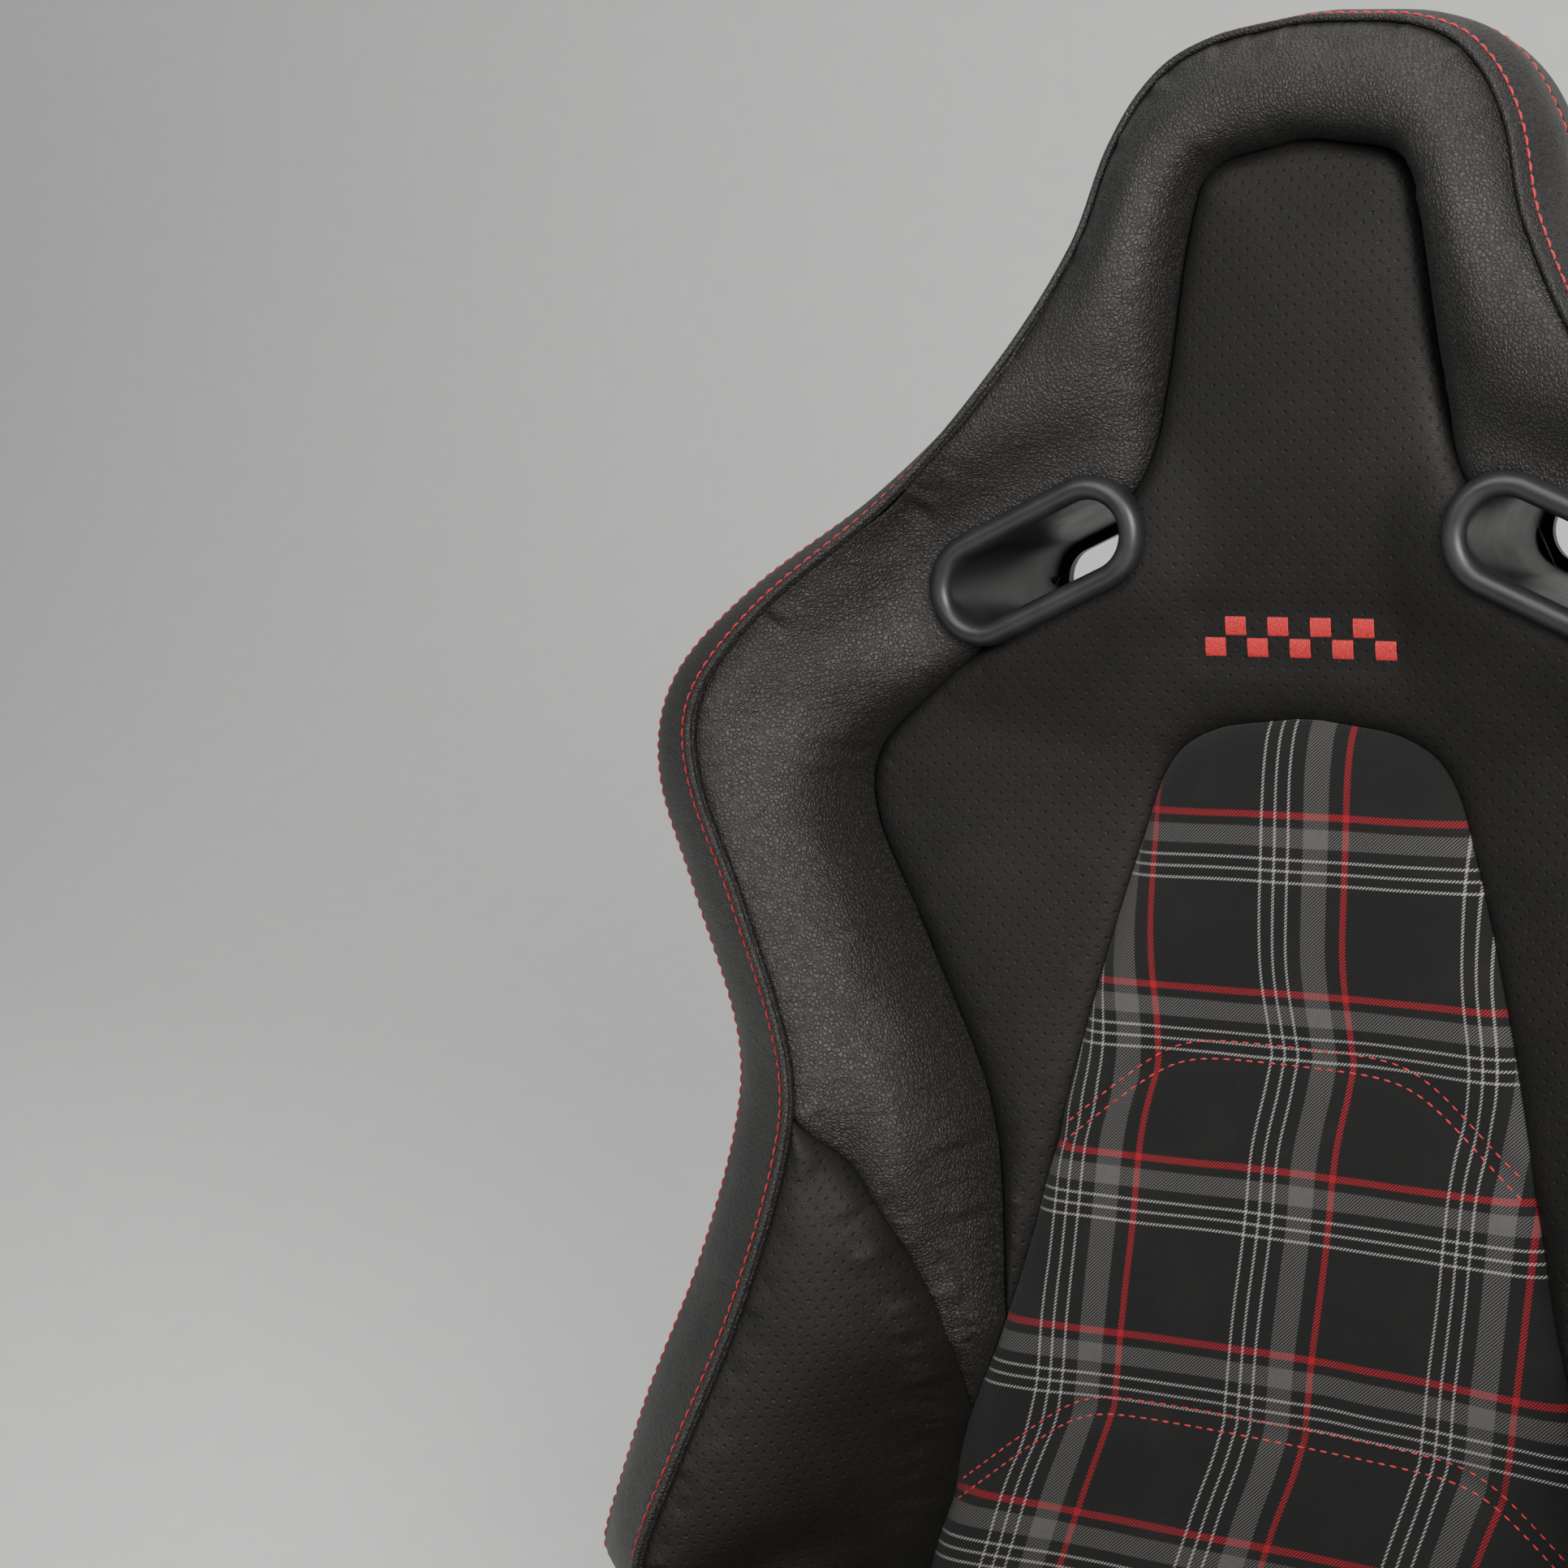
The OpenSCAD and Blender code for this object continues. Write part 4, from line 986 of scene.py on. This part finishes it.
def edge_band():
    """The band between the piping and the rear seam, with its grid of points and their normals."""
    edge, seam = loop_pair()
    layers = [band_points(edge, seam, t) for t in np.linspace(0, 1, BAND_ROWS)]
    outer = np.stack([place_back(*q.T) for q in layers], 1)
    normal = grid_normals(outer)
    n, m = outer.shape[:2]
    inner = outer - normal * BAND_THICK * MM
    verts, faces = close_body(outer.reshape(-1, 3), inner.reshape(-1, 3), loft(n, m, closed=False))
    step = np.linalg.norm(np.gradient(outer, axis=1), axis=2)
    far = np.minimum(np.cumsum(step, 1), np.cumsum(step[:, ::-1], 1)[:, ::-1]) * 0.7
    beside = np.stack([np.repeat(run_along(outer[:, 0]), m), far.ravel()], 1)
    obj = new_object("edge_band", verts, faces, seam=np.concatenate([beside, beside]))
    tidy_normals(obj)
    return obj, outer, normal


band, band_grid, band_normal = edge_band()
dress(band, "smooth_leather", "backrest", "gusset_left", "gusset_right")

pipe_path, _ = loop_pair()
pipe = tube("edge_piping", place_back(*(pipe_path + [0, 0, 0.3]).T), PIPING_R * MM)
dress(pipe, "smooth_leather", "backrest", "front_piping")


def along_band(offset, from_seam):
    """A line on the band, offset from the piping or from the rear seam."""
    grid = band_grid[:, ::-1] if from_seam else band_grid
    norm = band_normal[:, ::-1] if from_seam else band_normal
    path, normals = [], []
    for row, nrow in zip(grid, norm):
        run = run_along(row)
        path.append([np.interp(offset * MM, run, row[:, k]) for k in range(3)])
        normals.append([np.interp(offset * MM, run, nrow[:, k]) for k in range(3)])
    return np.array(path), np.array(normals)


for tag, offset, from_seam in (("front", 7.4, False), ("rear", 4.6, True)):
    path, normals = along_band(offset, from_seam)
    row = stitches("band_stitch_" + tag, path, normals)
    dress(row, "red_thread", "backrest")


def skin_tree(obj):
    """Search tree over the faces of a piece."""
    return BVHTree.FromPolygons([w.co.copy() for w in obj.data.vertices],
                                [tuple(f.vertices) for f in obj.data.polygons])


def drop_on(skin, x, v, place, high=140.0):
    """Points and outward normals where a line of flat coordinates meets a finished skin."""
    tree = skin_tree(skin)
    start = place(x, v, np.full(len(x), high))
    end = place(x, v, np.zeros(len(x)))
    path, normals = [], []
    for a, b in zip(start, end):
        a, b = Vector(a), Vector(b)
        hit, normal, _, _ = tree.ray_cast(a, (b - a).normalized(), 1.0)
        if hit is None:
            continue
        path.append(tuple(hit))
        normals.append(tuple(normal if normal.dot(b - a) < 0 else -normal))
    return np.array(path), np.array(normals)


def arch_stitches(name, skin, arches, fall, x, half, place, high, body):
    """Twin rows of stitches along each sewn arch of an insert, within its half width."""
    for k, (top, flat) in enumerate(arches):
        for row in range(2):
            v = arch_height(x, top, flat, fall) - row * ARCH_GAP
            ok = np.abs(x) < half(v)
            path, normals = drop_on(skin, x[ok], v[ok], place, high)
            piece = stitches("%s_%d_%d" % (name, k + 1, row + 1), path, normals, **ARCH_THREAD)
            dress(piece, "red_thread", body)


arch_stitches("arch_stitch", insert, BACK_ARCHES, BACK_FALL, np.linspace(-175, 175, 600),
              lambda s: at(CLOTH_X, s) - 3, place_back, 140.0, "backrest")


def emblem():
    """A plain embroidered bar of chequered squares below the headrest."""
    left, low, side = -43.1, 481.8, 9.5
    pitch_x, pitch_s, thread_gap, radius = 9.65, 9.35, 0.62, 0.40
    rise = np.array([-0.6, -0.1, 0.12, 0.22, 0.25, 0.22, 0.12, -0.1, -0.6]) * MM
    rings, sides = len(rise), 6
    squares = [(col, row) for col in range(9) for row in range(2) if (col + row) % 2 == 0]
    threads_at = [(left + col * pitch_x + k * thread_gap, low + row * pitch_s)
                  for col, row in squares for k in range(int(side / thread_gap))]
    verts, faces = [], []
    for x0, s0 in threads_at:
        s = np.linspace(s0, s0 + side, rings)
        path, normals = drop_on(centre, np.full(rings, x0), s, place_back)
        if len(path) < rings:
            continue
        c = path + normals * rise[:, None]
        t = np.gradient(c, axis=0)
        t /= np.linalg.norm(t, axis=1)[:, None]
        faces += capped_loft(rings, sides, len(verts))
        verts.extend(ring_points(c, np.cross(normals, t) * radius * MM, normals * radius * MM, sides))
    dress(outward_body("chequered_embroidery", verts, faces), "red_thread", "backrest")


emblem()

# ---------------------------------------------------------------- cushion
# Outlines: [distance behind the origin, value]

SEAT_Z = [[-345, 190], [-340, 216], [-326, 238], [-300, 250], [-260, 252], [-180, 240],
          [-60, 216], [60, 204], [110, 203], [132, 198], [138, 190]]
CREST_X = [[-343, 186], [-340, 199], [-333, 211], [-320, 220], [-300, 227], [-200, 236], [-60, 236],
           [60, 226], [126, 214]]
CREST_Z = [[-343, 194], [-340, 217], [-333, 238], [-320, 254], [-300, 268], [-240, 292], [-160, 298],
           [-90, 286], [-50, 262], [-22, 222], [0, 206], [126, 203]]
SKIRT_X = [[-343, 193], [-340, 208], [-333, 223], [-320, 235], [-300, 245], [-200, 266], [-100, 272],
           [0, 264], [60, 250], [126, 234]]
INSERT_W = 163
NOSE_Y = -345
BOLSTER_Y = -343
FRONT_PAD_Y = -236
SEAT_BACK_Y = 134


def nose_profile():
    """Side profile of the cushion's middle, from under its nose to its back edge."""
    y = np.concatenate([NOSE_Y + 20 * np.linspace(0, 1, 30) ** 2.5, np.linspace(-324, 138, 260)])
    top = np.stack([y, at(SEAT_Z, y)], 1)
    nose = np.array([[-318, 99], [-334, 104], [-341, 116], [-343.6, 135], [-344.6, 160], [-345, 186]])
    line = resample(np.concatenate([nose, top]), 2.0)
    return line, run_along(line)


NOSE, NOSE_RUN = nose_profile()


def run_at(y):
    """Run along the profile at a point of the top."""
    top = NOSE_RUN > NOSE_RUN[np.argmax(NOSE[:, 1] > 215)]
    return float(np.interp(y, NOSE[top, 0], NOSE_RUN[top]))


def nose_point(q):
    """Place (y, z) at a run along the profile."""
    return np.interp(q, NOSE_RUN, NOSE[:, 0]), np.interp(q, NOSE_RUN, NOSE[:, 1])


def place_seat(x, q, h):
    """World point, in metres, at run q along the profile and height h off it."""
    q = np.asarray(q, float)
    y, z = nose_point(q)
    ty, tz = np.subtract(nose_point(q + 6), nose_point(q - 6))
    size = np.maximum(np.hypot(ty, tz), 1e-6)
    ny, nz = -tz / size, ty / size
    return np.stack([x + 0 * q, y + ny * h, z + nz * h], -1) * MM


def box_ring(half, low, high):
    """Closed outline of a rectangle."""
    line = np.array([[half, low], [half, high], [-half, high], [-half, low], [half, low]], float)
    return resample(line, 2.6)[:-1]


Q_SPLIT = run_at(FRONT_PAD_Y)
Q_BACK = run_at(SEAT_BACK_Y)
SEAT_ARCHES = ((Q_SPLIT + 122, 62), (Q_SPLIT + 262, 62))


def seat_valley(p):
    """Valleys of the seat insert between its twin rows of stitches."""
    pull = np.zeros(len(p))
    for top, flat in SEAT_ARCHES:
        off = p[:, 1] - arch_height(p[:, 0], top, flat, SEAT_FALL) + ARCH_GAP / 2
        pull = np.minimum(pull, -3.0 * np.exp(-(off / 7.0) ** 2))
    return pull


def seat_shape(p):
    """Rise of the cushion beside its bolsters."""
    fade = smooth((p[:, 1] - 120) / 90)
    return 9.0 * (np.abs(p[:, 0]) / INSERT_W) ** 3 * fade - 3.0


def seat_panel(name, low, high, slot, node, extra=None):
    """A padded panel of the cushion between two runs along its profile."""
    ring = box_ring(INSERT_W - 0.4, low, high)
    seams = resample(loop_back(ring), 1.0)
    obj = panel(name, ring, seat_shape, place_seat, -42, [(seams, 7.0, 4.0)], swell=5.0, extra=extra,
                cap=6.0, slack=0.006)
    dress(obj, slot, "seat", node)
    return obj


seat_insert = seat_panel("seat_plaid", Q_SPLIT + 0.6, Q_BACK, "plaid_cloth", "cushion_insert",
                         seat_valley)
seat_front = seat_panel("seat_front", 2.0, Q_SPLIT - 0.6, "perforated_leather", "cushion_front")

arch_stitches("seat_stitch", seat_insert, SEAT_ARCHES, SEAT_FALL, np.linspace(-155, 155, 500),
              lambda q: INSERT_W, place_seat, 60.0, "seat")

x = np.linspace(-157, 157, 400)
path, normals = drop_on(seat_front, x, np.full(len(x), Q_SPLIT - 7.0), place_seat, 60.0)
dress(stitches("seat_stitch_front", path, normals), "red_thread", "seat")


def bolster_section(y, squeeze):
    """Closed outline of a side bolster at y: over the top, down the skirt and back underneath."""
    xi, xe, xs = INSERT_W + 0.8, float(at(CREST_X, y)), float(at(SKIRT_X, y))
    inner, crest = float(at(SEAT_Z, y)) + 1.0, float(at(CREST_Z, y))
    low = PAN_Z + 4
    t = np.linspace(0, 1, 26)
    roll = 4 * t * (1 - t) * 5.0
    pinch = 5.0 * np.exp(-t * (xe - xi) / 4.0) + 3.5 * np.exp(-(1 - t) * (xe - xi) / 4.0)
    top = np.stack([xi + (xe - xi) * t, inner + (crest - inner) * (1 - (1 - t) ** 2.2) + roll - pinch], 1)
    v = np.linspace(0, 1, 24) ** 1.3
    drop = crest - low
    side = np.stack([xe + (xs - xe) * np.sin(v * math.pi / 2) - 2.5 * np.exp(-v * drop / 4.0)
                     - 10.0 * v**6, crest - 1.5 - (drop - 1.5) * v], 1)
    under = np.stack([np.linspace(xs - 14, xi, 8), np.full(8, low - 2.0)], 1)
    wall = np.stack([np.full(10, xi), np.linspace(low, inner - 6, 10)], 1)
    ring = np.concatenate([top, side, under[1:], wall[1:]])
    centre = ring.mean(0)
    return centre + (ring - centre) * squeeze


def bolster(side, tag):
    """A side bolster of the cushion with its row of stitches; gives the path of its piping."""
    y = np.concatenate([BOLSTER_Y + 43 * np.linspace(0, 1, 34) ** 2, np.linspace(-297, 126, 148)])
    nose = ((-345.0, 0.50), (-344.9, 0.70), (-344.6, 0.84), (-344.1, 0.93), (-343.5, 0.98))
    rows = [(where, squeeze, BOLSTER_Y) for where, squeeze in nose] + [(v, 1.0, v) for v in y]
    verts = []
    for where, squeeze, section in rows:
        ring = bolster_section(section, squeeze)
        if side < 0:
            ring = ring * np.array([-1, 1])
        verts += [(q[0] * MM, where * MM, q[1] * MM) for q in ring]
    obj = outward_body("seat_bolster_" + tag, verts, capped_loft(len(rows), len(ring)))
    dress(obj, "smooth_leather", "seat", "cushion_bolster_" + tag)
    down = np.linspace(0.9, 0.03, 24)
    xe, xs, crest = (float(at(o, BOLSTER_Y)) for o in (CREST_X, SKIRT_X, CREST_Z))
    front = np.stack([xe - 1 + (xs - xe) * np.sin(down * math.pi / 2), np.full(24, BOLSTER_Y - 1.0),
                      crest - 1.5 - (crest - PAN_Z - 5.5) * down], 1)
    y = BOLSTER_Y + 467 * np.linspace(0, 1, 300) ** 1.5
    over = np.stack([at(CREST_X, y) - 1.0, y, at(CREST_Z, y) - 1.6], 1)
    cord = resample(np.concatenate([front, over]), 2.5) * np.array([side, 1, 1]) * MM
    y = np.linspace(-338, 124, 230)
    xe, crest = at(CREST_X, y), at(CREST_Z, y)
    line = np.stack([side * (xe + 2.15), y, crest - 6.4], 1) * MM
    tree = skin_tree(obj)
    found = [tree.find_nearest(Vector(a))[:2] for a in line]
    row = stitches("seat_stitch_" + tag, *(np.array([tuple(f[k]) for f in found]) for k in range(2)))
    dress(row, "red_thread", "seat")
    return cord


cords = [bolster(1, "left"), bolster(-1, "right")]
for cord, tag in zip(cords, ("left", "right")):
    piece = tube("seat_piping_" + tag, cord, PIPING_R * MM, up=(1.0, 0.0, 0.0))
    dress(piece, "smooth_leather", "seat", "cushion_piping")

# ---------------------------------------------------------------- rear shell

REAR_SEAM = 52.0
GROOVE_DEPTH = 3.0
COVER_THICK = 0.003


def shell_points(s, turn):
    """Outer surface of the rear shell at height s; turn is 0 at one seam and 180 at the other."""
    a = math.radians(min(turn, 180 - turn))
    side = 1 if turn <= 90 else -1
    xs, ds, dd = at(SEAM_X, s), at(SEAM_D, s) - 2, at(SHELL_D, s)
    return side * xs * max(math.cos(a), 0) ** 0.42, dd + (ds - dd) * (1 - math.sin(a)) ** 2


def beside_seam(turn):
    """Degrees from the nearer long seam of the rear cover."""
    return min(abs(turn - REAR_SEAM), abs(180 - turn - REAR_SEAM))


def rear_cover():
    """The rear cover, with its grid of points and the turns of its columns."""
    crown = 756.8 - 62.8 * (1 - np.sin(np.linspace(0, math.pi / 2, 45)))
    heights = np.concatenate([np.linspace(36.5, 690, 170), crown])
    base = 90 - 90 * np.cos(np.linspace(0, math.pi, 71))
    near = [REAR_SEAM + k for k in (-2.4, -1.5, -0.9, -0.5, -0.2, 0, 0.2, 0.5, 0.9, 1.5, 2.4)]
    base = [float(a) for a in base if beside_seam(a) > 3.0]
    turns = sorted(base + near + [180 - a for a in near])
    rows = []
    for s in heights:
        pts = np.array([shell_points(float(s), a) for a in turns])
        groove = GROOVE_DEPTH * float(smooth((750 - s) / 26))
        sink = np.array([groove * math.exp(-beside_seam(a) / 0.7) for a in turns])
        rows.append(place_back(pts[:, 0], np.full(len(pts), s), pts[:, 1] + sink))
    outer = np.stack(rows)
    n, m = outer.shape[:2]
    faces = loft(n, m, closed=False) + [tuple(range((n - 1) * m, n * m))]
    obj = new_object("rear_cover", outer.reshape(-1, 3), faces)
    bm = bmesh.new()
    bm.from_mesh(obj.data)
    doomed = []
    for f in bm.faces:
        c = f.calc_center_median() / MM - HINGE
        s = c.y * math.sin(RECLINE) + c.z * math.cos(RECLINE)
        d = -c.y * math.cos(RECLINE) + c.z * math.sin(RECLINE)
        if d < 10 and slot_distance(np.array([[c.x, s]]))[0] < -4.4:
            doomed.append(f)
    bmesh.ops.delete(bm, geom=doomed, context="FACES")
    bmesh.ops.recalc_face_normals(bm, faces=bm.faces)
    bm.to_mesh(obj.data)
    bm.free()
    thick = obj.modifiers.new("thickness", "SOLIDIFY")
    thick.thickness = COVER_THICK
    thick.offset = -1
    return obj, outer, turns


shell, shell_grid, shell_turns = rear_cover()
dress(shell, "smooth_leather", "backrest", "rear_shell")

shell_normals = grid_normals(shell_grid)
sewn_rows = slice(4, -14)
for tag, seam in (("left", REAR_SEAM), ("right", 180 - REAR_SEAM)):
    for row, aside in enumerate((-1.7, 1.7)):
        j = int(np.argmin([abs(a - seam - aside) for a in shell_turns]))
        piece = stitches("rear_stitch_%s_%d" % (tag, row + 1), shell_grid[sewn_rows, j],
                         shell_normals[sewn_rows, j])
        dress(piece, "red_thread", "backrest")

# ---------------------------------------------------------------- stage, light, camera

CAMERA_AT = (0.416, -0.822, 0.882)
CAMERA_TURN = (33.25, 13.24, 5.03)
CAMERA_LENS = 60
CAMERA_SENSOR = 36

def stage():
    """Pale paper floor that curves up into a wall behind and in front."""
    size, steps, radius, back, front = 6.0, 24, 1.4, 2.6, 6.0
    turns = [math.pi / 2 * k / steps for k in range(1, steps + 1)]
    bend = [(radius * math.sin(a), radius - radius * math.cos(a)) for a in turns]
    profile = [(-front, size)] + [(radius - front - y, z) for y, z in reversed(bend)]
    profile += [(radius - front, 0.0), (back - radius, 0.0)]
    profile += [(back - radius + y, z) for y, z in bend] + [(back, size)]
    verts = [(x, y, z) for x in (-size, size) for y, z in profile]
    floor = new_object("studio_floor", verts, loft(2, len(profile), closed=False))
    mat = Nodes("studio_paper")
    paper = mat.noise(mat.place(), 30.0, 3.0, 0.5)
    mat.finish(mat.mix(paper, (0.70, 0.70, 0.70, 1), (0.75, 0.75, 0.745, 1)), 0.9)
    floor.data.materials.append(mat.mat)


def area_light(name, place, target, size, power, colour):
    """A soft box at a place, turned to a target."""
    data = bpy.data.lights.new(name, "AREA")
    data.shape = "RECTANGLE"
    data.size, data.size_y = size
    data.energy = power
    data.color = colour
    lamp = bpy.data.objects.new(name, data)
    bpy.context.scene.collection.objects.link(lamp)
    lamp.location = place
    lamp.rotation_euler = (Vector(target) - Vector(place)).to_track_quat("-Z", "Y").to_euler()


def camera():
    """The camera at the photo's angle."""
    data = bpy.data.cameras.new("camera")
    data.lens = CAMERA_LENS
    data.sensor_width = CAMERA_SENSOR
    cam = bpy.data.objects.new("camera", data)
    bpy.context.scene.collection.objects.link(cam)
    yaw, pitch, roll = (math.radians(a) for a in CAMERA_TURN)
    forward = Vector((-math.sin(yaw) * math.cos(pitch), math.cos(yaw) * math.cos(pitch), -math.sin(pitch)))
    right = Vector((math.cos(yaw), math.sin(yaw), 0))
    up = right.cross(forward)
    across = right * math.cos(roll) - up * math.sin(roll)
    over = right * math.sin(roll) + up * math.cos(roll)
    turn = Matrix((across, over, -forward)).transposed().to_4x4()
    cam.matrix_world = Matrix.Translation(CAMERA_AT) @ turn
    bpy.context.scene.camera = cam


stage()
area_light("key", (1.5, -1.3, 1.55), (0, 0.15, 0.65), (0.9, 0.9), 74, (1.0, 0.97, 0.93))
area_light("side", (-0.85, -1.9, 2.0), (0, 0.15, 0.7), (0.9, 0.7), 16, (1.0, 0.965, 0.92))
area_light("top", (-0.1, 0.9, 2.7), (0, 0.2, 0.6), (1.6, 1.0), 15, (1.0, 0.98, 0.95))
area_light("floor_wash", (0.0, -2.4, 3.6), (0, 1.8, 1.0), (3.0, 2.0), 84, (1, 1, 1))
world = bpy.data.worlds.new("studio")
bpy.context.scene.world = world
world.use_nodes = True
background = world.node_tree.nodes["Background"].inputs
background["Color"].default_value = (0.9, 0.92, 0.95, 1)
background["Strength"].default_value = 0.19
camera()
